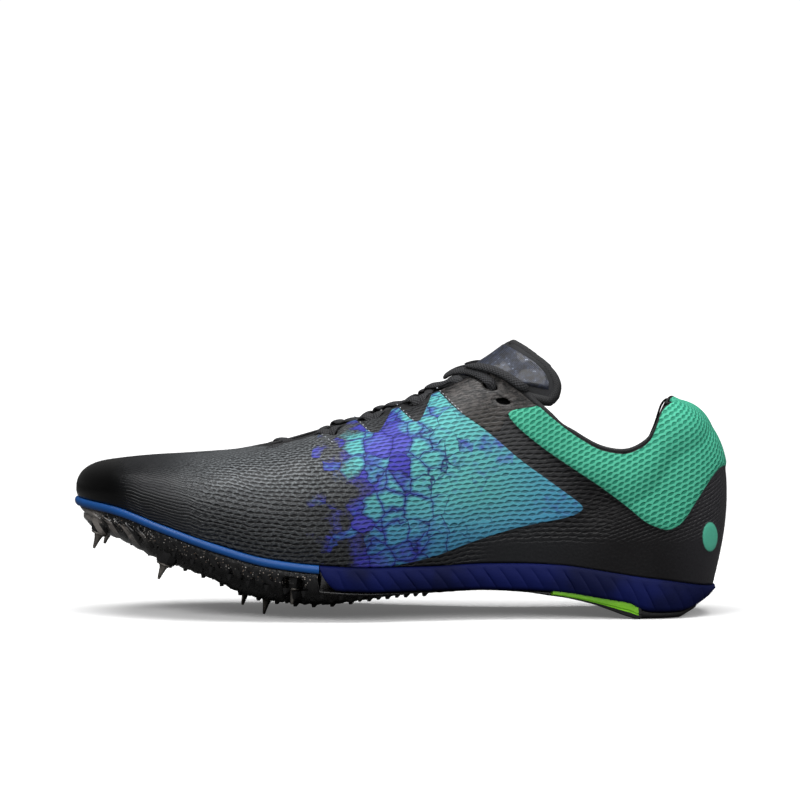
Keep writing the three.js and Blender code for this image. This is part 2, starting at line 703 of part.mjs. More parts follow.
function placeOnPin(object, { at, across, tip, tilt }) {
  const lean = THREE.MathUtils.degToRad(tilt);
  object.position.set(xAt(at) - PIN_LENGTH * Math.sin(lean), across * BALL_WIDTH,
    tip * TOE_SPRING + PIN_TIP * Math.sin(lean));
  object.rotation.y = lean;
  object.updateMatrix();
}

// The rubber arch piece under the waist and the tread under the heel.
function underLayer(name, from, to, material) {
  const top = (at) => midsoleBottom(at) - FIT_GAP;
  const layer = soleLayer(evenShares(from, to, UNDER_STEPS), () => [
    { grow: -UNDER_INSET, z: top },
    { grow: -UNDER_TAPER, z: (at) => top(at) * along(TREAD, 'low', at) },
  ]);
  return meshOf(name, layer, material);
}

const finish = (color, roughness, metalness = 0) =>
  new THREE.MeshStandardMaterial({ color, roughness, metalness });

const knitBlack = finish(0x1b1c1f, 0.75);
const tongueBlack = finish(0x17181b, 0.85);
const liningBlack = finish(0x1a1a1c, 0.9);
const rimBlue = finish(0x0f5bb0, 0.5);
const plateBlack = finish(0x141416, 0.3);
const foamNavy = finish(0x1c2158, 0.55);
const archLime = finish(0x7fc41c, 0.5);
const skinTeal = finish(0x4fa3b8, 0.6);
const filmGrey = finish(0x4a4b4d, 0.35);
const knitGreen = finish(0x3fc79a, 0.8);
const laceBlack = finish(0x141416, 0.8);
const pinSteel = finish(0x8d8a86, 0.35, 1);

const shoe = new THREE.Group();
shoe.add(
  upper(knitBlack),
  tongue(tongueBlack),
  insole(liningBlack),
  forefootRim(rimBlue),
  spikePlate(plateBlack),
  midsole(foamNavy),
  underLayer('arch_piece', PLATE_END + (3 * FIT_GAP) / SEAM_LENGTH, ARCH_END, archLime),
  underLayer('heel_tread', ARCH_END + FIT_GAP / SEAM_LENGTH, HEEL_TREAD_END, plateBlack),
  overlay('quarter_skin_lateral', QUARTER_SKIN, -1, skinTeal),
  overlay('quarter_skin_medial', QUARTER_SKIN, 1, skinTeal),
  overlay('eyestay_film_lateral', EYESTAY_FILM, -1, filmGrey),
  overlay('eyestay_film_medial', EYESTAY_FILM, 1, filmGrey),
  overlay('collar_panel', COLLAR_PANEL, 0, knitGreen),
  laceCrossings(laceBlack),
  laceEnd('lace_end_lateral', -1, laceBlack),
  laceEnd('lace_end_medial', 1, laceBlack),
  ...PINS.map((pin) => spike(`spike_${pin.name}`, pin, pinSteel)),
);

export default shoe;
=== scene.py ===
import math

import bmesh
import bpy
import numpy as np
from mathutils import Matrix, Vector
from mathutils.bvhtree import BVHTree


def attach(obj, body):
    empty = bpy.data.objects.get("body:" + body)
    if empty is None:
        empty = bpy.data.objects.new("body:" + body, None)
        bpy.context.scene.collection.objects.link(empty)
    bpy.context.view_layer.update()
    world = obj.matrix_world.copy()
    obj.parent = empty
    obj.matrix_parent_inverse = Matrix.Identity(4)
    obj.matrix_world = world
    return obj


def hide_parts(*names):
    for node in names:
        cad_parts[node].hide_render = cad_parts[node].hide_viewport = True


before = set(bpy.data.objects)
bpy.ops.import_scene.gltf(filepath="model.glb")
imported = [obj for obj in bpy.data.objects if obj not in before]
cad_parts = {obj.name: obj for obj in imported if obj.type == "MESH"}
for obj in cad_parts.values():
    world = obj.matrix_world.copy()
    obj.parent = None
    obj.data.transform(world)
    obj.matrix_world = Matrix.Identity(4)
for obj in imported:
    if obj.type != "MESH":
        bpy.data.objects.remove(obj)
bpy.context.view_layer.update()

MM = 0.001

# Sizes of the shoe, in millimetres, as the frame has them
LENGTH = 282
HEEL_BACK = 32
HEEL_BULGE = 5.8
BALL_WIDTH = 92
HEEL_WIDTH = 62
INSTEP_HEIGHT = 107
TOE_SPRING = 50
HEEL_HEIGHT = 92.5
TOE_ROUND = 62
HEEL_ROUND = 32
WALL_FRONT = 1.6
WALL_HEEL = 3.6
FIT_GAP = 0.3
RIB_POWER = 2.5
SPINE_TOE = 0.077
SPINE_HEEL = 0.881
THROAT_FRONT = 0.296
THROAT_BACK = 0.653
THROAT_WIDTH_FRONT = 20
THROAT_WIDTH_BACK = 30
RIM_THICK = 3.5
RIM_FLARE = 1.4
RIM_END = 0.383
MIDSOLE_FLARE = 1.6
RIB_PITCH = 6.6
RIB_SLANT = 8
PLATE_END = 0.743
ARCH_END = 0.884
HEEL_TREAD_END = 0.986
LUG_PITCH = 8
LUGS_TO = 0.58
PIN_LENGTH = 6.4
PIN_TIP = 0.6
LACE_RADIUS = 1.9
LACE_TURN = 0.80
TOP_HOLE = 0.648
TOP_HOLE_TURN = 0.52
LACE_END_TURN = 0.88
LACE_LIFT = 1.3
LACE_STEPS = 6
SEAM_BACK = HEEL_BACK - HEEL_BULGE
SEAM_LENGTH = LENGTH - HEEL_BULGE - RIM_FLARE / 2

# The photograph's frame: a long lens from the lateral side, a little above the floor
PIXEL = 0.4325
IMAGE = 800
FLOOR_LINE = 613
TOE_PIXEL = 76.5
SEAM_PIXELS = 636.5
ORIGIN_PIXEL = 653
DISTANCE = 2200
ELEVATION = math.radians(3.5)
SENSOR = 36


def table(columns, *rows):
    """Rows of numbers with named columns."""
    return [dict(zip(columns.split(), row)) for row in rows]


LAST = table(
    "at lateral medial feather ridge tuck rise lean",
    (0.000, 0.36, 0.42, 1.0058, 0.600, 0.008, 0.03, 0.080),
    (0.059, 0.40, 0.45, 0.96728, 0.615, 0.014, 0.06, 0.080),
    (0.141, 0.44, 0.46, 0.8239, 0.635, 0.018, 0.09, 0.070),
    (0.223, 0.475, 0.465, 0.6741, 0.648, 0.022, 0.12, 0.060),
    (0.305, 0.50, 0.475, 0.55212, 0.680, 0.026, 0.14, 0.050),
    (0.387, 0.51, 0.455, 0.49648, 0.744, 0.030, 0.16, 0.040),
    (0.469, 0.49, 0.400, 0.47508, 0.820, 0.034, 0.18, 0.030),
    (0.551, 0.46, 0.345, 0.47508, 0.914, 0.038, 0.20, 0.020),
    (0.633, 0.465, 0.33, 0.49006, 1.045, 0.040, 0.24, 0.012),
    (0.694, 0.485, 0.36, 0.48792, 1.135, 0.042, 0.28, 0.006),
    (0.756, 0.505, 0.41, 0.47294, 1.125, 0.042, 0.34, 0.000),
    (0.838, 0.505, 0.465, 0.4066, 0.975, 0.042, 0.44, 0.000),
    (0.880, 0.503, 0.48, 0.36808, 0.872, 0.036, 0.50, 0.000),
    (0.920, 0.50, 0.49, 0.33812, 0.866, 0.030, 0.54, 0.000),
    (1.000, 0.50, 0.50, 0.25252, 0.860, 0.000, 0.62, 0.000))

COLLAR = table(
    "at up",
    (0.610, 1.165), (0.648, 1.137), (0.683, 1.085), (0.704, 1.038), (0.743, 0.937),
    (0.787, 0.840), (0.824, 0.785), (0.854, 0.772), (0.882, 0.801), (0.895, 0.835),
    (0.906, 0.902), (0.913, 0.958), (0.926, 0.990), (0.943, 1.002))

SOLE = table(
    "at edge keel mid",
    (0.000, 0.03, 0.05, 0.200), (0.028, 0.08, 0.17, 0.200), (0.080, 0.12, 0.23, 0.200),
    (0.131, 0.13, 0.27, 0.200), (0.203, 0.15, 0.27, 0.200), (0.264, 0.17, 0.32, 0.200),
    (0.325, 0.17, 0.32, 0.200), (0.387, 0.18, 0.30, 0.210), (0.469, 0.17, 0.22, 0.214),
    (0.551, 0.155, 0.17, 0.210), (0.633, 0.155, 0.165, 0.222), (0.700, 0.175, 0.18, 0.232),
    (0.746, 0.20, 0.205, 0.236), (0.804, 0.22, 0.23, 0.244), (0.862, 0.22, 0.23, 0.244),
    (0.880, 0.22, 0.23, 0.276), (0.896, 0.22, 0.23, 0.288), (0.940, 0.22, 0.23, 0.256),
    (0.959, 0.22, 0.23, 0.214), (0.975, 0.22, 0.23, 0.160), (0.989, 0.22, 0.23, 0.098),
    (1.000, 0.22, 0.23, 0.040))

TREAD = table(
    "at low",
    (0.740, 0.870), (0.746, 0.866), (0.775, 0.820), (0.804, 0.735), (0.833, 0.508),
    (0.862, 0.171), (0.880, 0.000), (0.940, 0.000), (0.959, 0.470), (0.975, 0.646),
    (0.989, 0.751))

PINS = table(
    "name at across tip tilt",
    ("toe_lateral", 0.036, -0.08, 0.565, 21), ("toe_medial", 0.046, 0.26, 0.550, 21),
    ("front_lateral", 0.141, -0.30, 0.335, 22), ("front_medial", 0.148, 0.36, 0.320, 22),
    ("ball_medial", 0.262, 0.32, 0.000, 14), ("ball_centre", 0.299, -0.10, 0.000, 12),
    ("ball_lateral", 0.343, -0.38, 0.135, 8))

LACE_ROWS = (0.312, 0.398, 0.459, 0.525, 0.584)

# Outlines on the upper as the camera sees them: at is a share of the sole seam's length,
# up a share of the heel height.
QUARTER = table(
    "at up",
    (0.360, 0.60), (0.377, 0.846), (0.402, 0.792), (0.433, 0.921), (0.460, 0.842),
    (0.477, 0.842), (0.500, 0.977), (0.529, 0.893), (0.541, 0.893), (0.563, 1.055),
    (0.595, 0.954), (0.631, 0.879), (0.656, 0.823), (0.697, 0.715), (0.741, 0.622),
    (0.792, 0.512), (0.797, 0.486), (0.780, 0.452), (0.697, 0.404), (0.648, 0.360),
    (0.612, 0.323), (0.560, 0.262), (0.470, 0.200), (0.360, 0.240))
FILM = table(
    "at up",
    (0.566, 1.070), (0.590, 1.200), (0.650, 1.300), (0.780, 1.300), (0.740, 0.985),
    (0.724, 0.970), (0.697, 0.956), (0.676, 0.924), (0.662, 0.830), (0.631, 0.879),
    (0.595, 0.954))
GREEN = table(
    "at up",
    (0.676, 0.926), (0.684, 0.945), (0.697, 0.954), (0.730, 0.968), (0.745, 1.060),
    (0.760, 1.300), (1.100, 1.300), (1.060, 0.690), (1.013, 0.695), (0.998, 0.641),
    (0.976, 0.538), (0.952, 0.421), (0.930, 0.382), (0.901, 0.414), (0.890, 0.435),
    (0.862, 0.505), (0.822, 0.594), (0.769, 0.697), (0.733, 0.771), (0.697, 0.856))
HOLES = table(
    "x y long short turn",
    (330.5, 429.5, 7.0, 4.2, 20), (369.5, 413, 7.5, 4.0, 20), (411, 400.5, 8.0, 4.2, 20),
    (490, 386, 7.5, 3.4, 20), (503, 401, 7.5, 3.4, 12))
DISC = (709.7, 536.7, 7.4, 14.4)

# Stitched rear edges of the quarter's teeth, from tip to notch
SEAMS = table(
    "at up to_at to_up",
    (0.377, 0.846, 0.402, 0.792), (0.433, 0.921, 0.460, 0.842), (0.500, 0.977, 0.529, 0.893),
    (0.563, 1.055, 0.605, 0.932))
STITCH_PITCH = 1.7
STITCH_OFF = 1.3    # pixels behind the edge

# Soft creases of the upper: from and to as seen, then width and depth in millimetres.
CREASES = table(
    "at up to_at to_up side wide deep",
    (0.330, 0.42, 0.300, 0.70, -1, 7.0, -0.9), (0.375, 0.40, 0.350, 0.66, -1, 6.0, -0.7),
    (0.285, 0.44, 0.262, 0.66, -1, 8.0, -0.6), (0.240, 0.50, 0.255, 0.70, 1, 8.0, -0.8),
    (0.300, 0.42, 0.315, 0.68, 1, 7.0, -0.9), (0.360, 0.40, 0.380, 0.66, 1, 7.0, -0.8),
    (0.520, 0.40, 0.590, 0.74, -1, 9.0, -0.6), (0.600, 0.42, 0.560, 0.70, 1, 9.0, -0.7),
    (0.800, 0.38, 0.850, 0.66, -1, 9.0, -0.8), (0.860, 0.34, 0.800, 0.60, 1, 10.0, -0.9),
    (0.180, 0.56, 0.190, 0.68, -1, 9.0, -0.4), (0.745, 0.80, 0.790, 0.52, 1, 8.0, -0.6))


def clamp(value, low=0.0, high=1.0):
    return max(low, min(high, value))


def smooth(value, low, high):
    t = clamp((value - low) / (high - low))
    return t * t * (3 - 2 * t)


def lerp(a, b, t):
    return a + (b - a) * t


def along(rows, column, share):
    """Value of a table's column at a share of the length, on a smooth monotone curve."""
    last = len(rows) - 1
    i = 0
    while i < last - 1 and share > rows[i + 1]["at"]:
        i += 1

    def slope(a, b):
        return (rows[b][column] - rows[a][column]) / (rows[b]["at"] - rows[a]["at"])

    def tangent(p, q):
        return 0 if p * q <= 0 else 2 * p * q / (p + q)

    here = slope(i, i + 1)
    before = slope(i - 1, i) if i > 0 else here
    after = slope(i + 1, i + 2) if i < last - 1 else here
    width = rows[i + 1]["at"] - rows[i]["at"]
    t = clamp((share - rows[i]["at"]) / width)
    start, end = tangent(before, here) * width, tangent(here, after) * width
    rise = rows[i + 1][column] - rows[i][column]
    return (rows[i][column] + start * t + (3 * rise - 2 * start - end) * t ** 2
            + (start + end - 2 * rise) * t ** 3)


def x_at(share):
    return SEAM_BACK - SEAM_LENGTH * (1 - share)


def share_at(x):
    return 1 - (SEAM_BACK - x) / SEAM_LENGTH


def local_width(share):
    return lerp(BALL_WIDTH, HEEL_WIDTH, smooth(share, 0.45, 0.75))


def end_round(share):
    toe = clamp(share * SEAM_LENGTH / TOE_ROUND)
    heel = clamp((1 - share) * SEAM_LENGTH / HEEL_ROUND)
    return math.sqrt(1 - (1 - toe) ** 2) * math.sqrt(1 - (1 - heel) ** 2)


def ridge_y(share):
    return along(LAST, "lean", share) * BALL_WIDTH


def foot_point(share, side, grow=0.0):
    """Plan point of the feather line, moved out from the spine by grow."""
    middle = ridge_y(share)
    column = "lateral" if side < 0 else "medial"
    full = side * along(LAST, column, share) * local_width(share) - middle
    base = Vector((x_at(share), middle + full * end_round(share)))
    spine = spine_point(share)
    return base + (base - spine).normalized() * grow


def spine_at(share):
    return SPINE_TOE + (SPINE_HEEL - SPINE_TOE) * share


def station_of(at):
    return (at - SPINE_TOE) / (SPINE_HEEL - SPINE_TOE)


def spine_point(share):
    return Vector((x_at(spine_at(share)), ridge_y(spine_at(share))))


def feather_z(share):
    return along(LAST, "feather", share) * TOE_SPRING


def rib(share, side):
    """The rib of the upper's form at a station: a function of level, -1 at the feather
    line, 0 at the widest line and 1 at the ridge, that gives points in millimetres."""
    width = local_width(share)
    tuck = along(LAST, "tuck", share) * width + HEEL_BULGE * smooth(share, 0.86, 1)
    rise = along(LAST, "rise", share) * width
    foot, spine = feather_z(share), spine_point(share)
    top = along(LAST, "ridge", spine_at(share)) * INSTEP_HEIGHT
    hem = foot_point(share, side)
    out = (hem - spine).normalized()

    def point(level, grow=0.0):
        if level < 0:
            plan = hem + out * (grow + tuck * math.sin((level + 1) * math.pi / 2))
            return Vector((plan.x, plan.y, foot + rise * (level + 1)))
        angle = math.pi / 2 * level
        inward = 1 - max(0.0, math.cos(angle)) ** (2 / RIB_POWER) if level < 1 else 1
        upward = math.sin(angle) ** (2 / RIB_POWER)
        plan = (hem + out * (grow + tuck)).lerp(spine, inward)
        return Vector((plan.x, plan.y, lerp(foot + rise, top + grow, upward)))
    return point


# The camera
target = Vector(((IMAGE / 2 - ORIGIN_PIXEL) * PIXEL, 0, (FLOOR_LINE - IMAGE / 2) * PIXEL))
eye = target + DISTANCE * Vector((0, -math.cos(ELEVATION), math.sin(ELEVATION)))
camera_data = bpy.data.cameras.new("camera")
camera_data.sensor_width = SENSOR
camera_data.lens = SENSOR * DISTANCE / (IMAGE * PIXEL)
camera_data.clip_start = 0.1
camera_data.clip_end = 30
camera = bpy.data.objects.new("camera", camera_data)
camera.location = eye * MM
camera.rotation_euler = (math.pi / 2 - ELEVATION, 0, 0)
bpy.context.scene.collection.objects.link(camera)
bpy.context.scene.camera = camera


def seen(points):
    """Pixels of the photograph for points in millimetres, both sides seen as the near one."""
    p = np.array(points, dtype=float).reshape(-1, 3)
    p[:, 1] = -np.abs(p[:, 1])
    p -= np.array(eye)
    c, s = math.cos(ELEVATION), math.sin(ELEVATION)
    depth = p[:, 1] * c - p[:, 2] * s
    height = p[:, 1] * s + p[:, 2] * c
    scale = DISTANCE / PIXEL / depth
    return np.stack([IMAGE / 2 + p[:, 0] * scale, IMAGE / 2 - height * scale], axis=1)


def pixel(row):
    """Pixel of a table row's at and up."""
    return (TOE_PIXEL + row["at"] * SEAM_PIXELS, FLOOR_LINE - row["up"] * HEEL_HEIGHT / PIXEL)


def rounded(outline, times=2):
    """A closed outline with its corners cut round."""
    line = np.array(outline, dtype=float)
    for _ in range(times):
        after = np.roll(line, -1, axis=0)
        line = np.stack([line * 0.8 + after * 0.2, line * 0.2 + after * 0.8], axis=1).reshape(-1, 2)
    return line


def outline_distance(points, outline):
    """Signed distance of seen points to a closed outline, in millimetres, less than 0 inside."""
    best = np.full(len(points), 1e9)
    inside = np.zeros(len(points), dtype=bool)
    for a, b in zip(outline, np.roll(outline, -1, axis=0)):
        edge = b - a
        t = np.clip(((points - a) @ edge) / (edge @ edge), 0, 1)
        best = np.minimum(best, np.linalg.norm(points - a - t[:, None] * edge, axis=1))
        crosses = (a[1] > points[:, 1]) != (b[1] > points[:, 1])
        level = np.where(edge[1] == 0, 1e-9, edge[1])
        inside ^= crosses & (points[:, 0] < a[0] + (points[:, 1] - a[1]) * edge[0] / level)
    return np.where(inside, -best, best) * PIXEL


def ellipse_distance(points, x, y, long, short, turn=0.0):
    """About the distance to an ellipse in the photograph, in millimetres."""
    c, s = math.cos(math.radians(turn)), math.sin(math.radians(turn))
    dx, dy = points[:, 0] - x, points[:, 1] - y
    reach = np.sqrt(((dx * c + dy * s) / long) ** 2 + ((dy * c - dx * s) / short) ** 2)
    return (reach - 1) * min(long, short) * PIXEL


# Materials
def colour(code):
    """Linear colour of a hex code."""
    values = [int(code[i:i + 2], 16) / 255 for i in (1, 3, 5)]
    return [v / 12.92 if v <= 0.04045 else ((v + 0.055) / 1.055) ** 2.4 for v in values] + [1]


SLIT_LENS = 4.6     # how fast a slit of the knit narrows to its ends


class Finish:
    """A procedural material, made of nodes."""

    def __init__(self, name, **fixed):
        self.material = bpy.data.materials.new(name)
        self.material.use_nodes = True
        self.tree = self.material.node_tree
        self.shader = self.tree.nodes["Principled BSDF"]
        for key, value in fixed.items():
            self.shader.inputs[key.replace("_", " ")].default_value = value

    def add(self, kind, inputs=None, out=0, **settings):
        node = self.tree.nodes.new("ShaderNode" + kind)
        for key, value in settings.items():
            setattr(node, key, value)
        for key, value in (inputs or {}).items():
            self.put(node.inputs[key], value)
        return node.outputs[out]

    def put(self, socket, value):
        if isinstance(value, bpy.types.NodeSocket):
            self.tree.links.new(value, socket)
        elif isinstance(value, str):
            socket.default_value = colour(value)
        else:
            socket.default_value = value

    def math(self, operation, a, b=0.0, c=0.0):
        return self.add("Math", {0: a, 1: b, 2: c}, operation=operation)

    def plus(self, a, b):
        return self.math("ADD", a, b)

    def less(self, a, b):
        return self.math("SUBTRACT", a, b)

    def times(self, a, b):
        return self.math("MULTIPLY", a, b)

    def band(self, value, low, high, start=0.0, end=1.0):
        """value from low to high becomes start to end, smoothly."""
        return self.add("MapRange", {0: value, 1: low, 2: high, 3: start, 4: end},
                        interpolation_type="SMOOTHSTEP")

    def fade(self, value, low, high):
        """1 up to low, 0 from high on."""
        return self.band(value, low, high, 1.0, 0.0)

    def mix(self, factor, a, b):
        return self.add("Mix", {0: factor, 6: a, 7: b}, out=2, data_type="RGBA")

    def blend(self, factor, a, b):
        return self.add("Mix", {0: factor, 2: a, 3: b}, data_type="FLOAT")

    def attribute(self, name, vector=False):
        return self.add("Attribute", out=1 if vector else 2, attribute_name=name)

    def split(self, vector):
        node = self.add("SeparateXYZ", {0: vector}).node
        return node.outputs

    def join(self, x, y, z=0.0):
        return self.add("CombineXYZ", {0: x, 1: y, 2: z})

    def place(self, scale=1 / MM):
        """Object coordinates in millimetres."""
        at = self.add("TexCoord", out=3)
        return self.add("VectorMath", {0: at, "Scale": scale}, operation="SCALE")

    def noise(self, vector, scale, detail=3.0, roughness=0.5):
        return self.add("TexNoise", {"Vector": vector, "Scale": scale, "Detail": detail,
                                     "Roughness": roughness})

    def cells(self, vector, scale, feature="F1", out="Distance", randomness=1.0):
        return self.add("TexVoronoi", {"Vector": vector, "Scale": scale,
                                       "Randomness": randomness}, out=out, feature=feature)

    def weave(self, along_mm, up_mm, pitch, row):
        """Staggered lozenges, from -1 to 1."""
        a = self.math("COSINE", self.times(along_mm, 2 * math.pi / pitch))
        b = self.math("COSINE", self.times(up_mm, math.pi / row))
        return self.times(a, b)

    def slits(self, along_mm, up_mm, pitch, row, half, lean=0.16):
        """Rows of staggered lens-shaped slits in a knit: 1 in a slit, 0 between them.
        half is the slit's half height as a share of the row."""
        level = self.math("DIVIDE", up_mm, row)
        count = self.math("FLOOR", level)
        high = self.less(self.math("FRACT", level), 0.5)
        phase = self.math("MULTIPLY_ADD", count, 0.5, self.math("DIVIDE", along_mm, pitch))
        run = self.less(self.math("FRACT", phase), 0.5)
        lens = self.math("MULTIPLY_ADD", self.times(run, run), -SLIT_LENS * half, half)
        off = self.math("ABSOLUTE", self.math("MULTIPLY_ADD", run, -lean, high))
        return self.fade(self.less(off, lens), -0.09, 0.11)

    def done(self, base=None, roughness=None, height=None, metallic=None):
        for key, value in (("Base Color", base), ("Roughness", roughness),
                           ("Metallic", metallic)):
            if value is not None:
                self.put(self.shader.inputs[key], value)
        if height is not None:
            bump = self.add("Bump", {"Height": height, "Distance": MM, "Strength": 1.0})
            self.put(self.shader.inputs["Normal"], bump)
        return self.material


def ellipse_cover(f, x_px, y_px, x, y, long, short, turn=0.0):
    """1 inside an ellipse as the camera sees it, 0 outside."""
    c, s = math.cos(math.radians(turn)), math.sin(math.radians(turn))
    dx, dy = f.less(x_px, x), f.less(y_px, y)
    run = f.plus(f.times(dx, c / long), f.times(dy, s / long))
    rise = f.less(f.times(dy, c / short), f.times(dx, s / short))
    reach = f.plus(f.times(run, run), f.times(rise, rise))
    return f.fade(reach, 0.85, 1.15)


def turned_chart(f, along_mm, up_mm, degrees):
    """A chart turned so that its rows rise towards the heel."""
    c, s = math.cos(math.radians(degrees)), math.sin(math.radians(degrees))
    return (f.plus(f.times(along_mm, c), f.times(up_mm, s)),
            f.less(f.times(up_mm, c), f.times(along_mm, s)))


def quarter_print(f, chart, x_px, y_px, slit, black):
    """The quarter's printed skin: violet and teal patches with fine cracks, then plain teal."""
    warp = f.add("VectorMath", {0: f.add("TexNoise", {"Vector": chart, "Scale": 0.16}, out=1),
                                "Scale": 4.5}, operation="SCALE")
    bent = f.add("VectorMath", {0: chart, 1: warp}, operation="ADD")
    patch = f.split(f.cells(bent, 0.115, out="Color", randomness=0.9))
    crack = f.cells(bent, 0.115, feature="DISTANCE_TO_EDGE", randomness=0.9)
    cloud, speck = f.noise(chart, 0.075, 3, 0.55), f.noise(chart, 1.1, 2, 0.7)
    wander = f.times(f.less(cloud, 0.5), 150)
    here = f.plus(x_px, wander)

    teal = f.mix(f.band(x_px, 470, 580), "#56adad", "#4797b6")
    teal = f.mix(f.times(f.band(y_px, 485, 550), 0.75), teal, "#3b7bb0")
    violet = f.mix(patch[1], "#3330a0", "#5558bd")
    share = f.plus(f.band(here, 335, 440, 0.85, 0.0), f.times(f.less(patch[0], 0.5), 1.1))
    share = f.plus(share, f.times(f.less(f.noise(chart, 0.3, 3), 0.5), 0.8))
    tone = f.mix(f.band(share, 0.25, 0.75), teal, violet)
    soft = f.times(f.fade(crack, 0.01, 0.2), f.band(here, 405, 455, 0.75, 0.0))
    tone = f.mix(soft, tone, "#2c2899")
    line = f.times(f.fade(crack, 0.012, 0.034), f.band(here, 440, 486, 0.85, 0.0))
    tone = f.mix(line, tone, "#151c63")
    tone = f.mix(f.times(slit, 0.72), tone, f.mix(0.75, tone, "#07182e"))
    front = f.plus(here, f.times(f.less(speck, 0.5), 36))
    front = f.plus(front, f.times(f.less(patch[2], 0.5), 44))
    return f.mix(f.band(front, 322, 362), black, tone)


def upper_finish():
    f = Finish("upper_knit", Specular_IOR_Level=0.3)
    along_mm, up_mm, edge_mm = f.split(f.attribute("chart", vector=True))[:3]
    x_px, y_px, flank = f.split(f.attribute("seen", vector=True))[:3]
    cover = {}
    for name in ("quarter", "film", "green"):
        cover[name] = f.fade(f.attribute(name), -0.22, 0.22)
    cover["disc"] = ellipse_cover(f, x_px, y_px, *DISC)
    cover["hole"] = 0.0
    for h in HOLES:
        one = ellipse_cover(f, x_px, y_px, h["x"], h["y"], h["long"], h["short"], h["turn"])
        cover["hole"] = f.math("MAXIMUM", cover["hole"], one)
    chart = f.join(along_mm, up_mm, flank)
    grain = f.noise(chart, 0.9, 4)
    broad = f.noise(chart, 0.06, 2)

    # the knit's slits: long over vamp and quarter, a fine mesh at the heel, fading at the toe
    u, v = turned_chart(f, along_mm, up_mm, 5)
    v = f.plus(v, f.times(f.noise(chart, 0.1, 1), 2.6))
    slit = f.slits(u, v, 3.75, 1.95, 0.24)
    mesh_u, mesh_v = turned_chart(f, along_mm, up_mm, 28)
    mesh = f.slits(mesh_u, mesh_v, 2.6, 1.5, 0.2)
    fine = f.math("SINE", f.times(v, 2 * math.pi / 1.3))
    fine_slit = f.band(fine, -0.2, 0.9)
    toe = f.band(f.plus(x_px, f.times(broad, 24)), 118, 168, 1.0, 0.0)
    heel = f.band(x_px, 575, 625)
    smooth_side = f.times(f.band(x_px, 425, 500), f.band(y_px, 520, 548))
    knit = f.blend(f.band(x_px, 170, 235), f.times(fine_slit, 0.5), slit)
    knit = f.blend(heel, knit, f.times(mesh, 0.42))
    knit = f.times(knit, f.less(1.0, toe))
    knit = f.blend(f.times(smooth_side, f.less(1.0, cover["quarter"])), knit, f.times(grain, 0.2))

    black = f.mix(f.times(grain, 0.6), "#17181a", "#343538")
    # painted highlight: light grey on the knit's crests over the upper vamp, strongest at the top,
    # standing in for light caught there
    crest_highlight = f.times(f.band(x_px, 150, 235), f.fade(x_px, 300, 420))
    crest_highlight = f.times(crest_highlight, f.band(y_px, 470, 520, 1.0, 0.35))
    black = f.mix(f.times(crest_highlight, f.band(grain, 0.35, 0.7, 0.1, 0.7)), black, "#84898c")
    black = f.mix(f.band(x_px, 520, 620), black, f.mix(grain, "#0c0b0d", "#171618"))
    black = f.mix(f.band(x_px, 655, 718), black, f.mix(grain, "#242326", "#39383c"))
    black = f.mix(f.times(knit, 0.9), black, "#020203")
    black = f.mix(toe, black, "#010101")
    base = f.mix(cover["quarter"], black, quarter_print(f, chart, x_px, y_px, slit, black))

    # the eyestay's film: blotched and half clear above, then dark knit rows below
    blotch = f.band(f.noise(chart, 0.42, 5, 0.75), 0.42, 0.62)
    film = f.mix(blotch, "#0d0c0c", "#45413f")
    under = f.mix(f.times(slit, 0.8), f.mix(grain, "#232122", "#38342f"), "#060606")
    film = f.mix(f.band(f.plus(y_px, f.times(grain, 18)), 405, 432), film, under)
    base = f.mix(cover["film"], base, film)

    # the collar's green knit with its lens-shaped pits on the slant
    pit_u, pit_v = turned_chart(f, along_mm, up_mm, 36)
    pits = f.slits(pit_u, pit_v, 3.5, 1.85, 0.3, 0.1)
    green = f.mix(f.times(grain, 0.8), "#3bab8a", "#5ac09f")
    green = f.mix(f.band(y_px, 425, 490, 0.0, 0.6), green, "#58caa6")
    base = f.mix(cover["green"], base, f.mix(pits, green, "#1f8569"))
    base = f.mix(cover["disc"], base, "#5cc4a6")

    # dark webbing and binding along the throat and collar edge
    throat = f.times(f.fade(edge_mm, 6.0, 7.0), f.fade(x_px, 425, 436))
    throat = f.times(throat, f.less(1.0, cover["quarter"]))
    throat = f.times(throat, f.band(x_px, 250, 262))
    base = f.mix(throat, base, f.mix(f.weave(along_mm, edge_mm, 1.3, 0.8), "#141415", "#2d2d2e"))
    lining = f.times(f.fade(edge_mm, 0.3, 0.6), f.band(x_px, 520, 540))
    lining = f.times(lining, f.math("MAXIMUM", f.fade(x_px, 650, 660), f.band(flank, 0.2, 0.6)))
    base = f.mix(lining, base, "#0b0b0c")
    # painted shade: the lace holes are near black, standing in for the shade inside their openings
    base = f.mix(cover["hole"], base, "#020202")

    rough = f.blend(toe, f.plus(0.34, f.times(grain, 0.2)), 0.2)
    rough = f.blend(cover["quarter"], rough, 0.6)
    rough = f.blend(cover["film"], rough, 0.36)
    rough = f.blend(cover["green"], rough, 0.68)
    height = f.times(knit, -0.8)
    height = f.blend(cover["film"], height, f.times(slit, -0.16))
    height = f.blend(cover["green"], height, f.times(pits, -0.5))
    height = f.blend(cover["disc"], height, f.times(grain, 0.05))
    height = f.blend(throat, height, f.times(grain, 0.05))
    height = f.plus(height, f.times(f.noise(chart, 2.5, 2), 0.06))
    # metallic over the lace holes takes away their shine, as part of their painted shade
    return f.done(base, rough, height, cover["hole"])


def plain_finish(name, base, dark, roughness, grain=1.5, relief=0.08, **fixed):
    """Moulded or woven stuff: two near tones, fine grain and a little relief."""
    f = Finish(name, **fixed)
    place = f.place()
    fine, broad = f.noise(place, grain, 3), f.noise(place, 0.05, 2)
    return f.done(f.mix(f.band(broad, 0.35, 0.65), base, dark),
                  f.plus(roughness - 0.06, f.times(fine, 0.12)),
                  f.times(fine, relief))


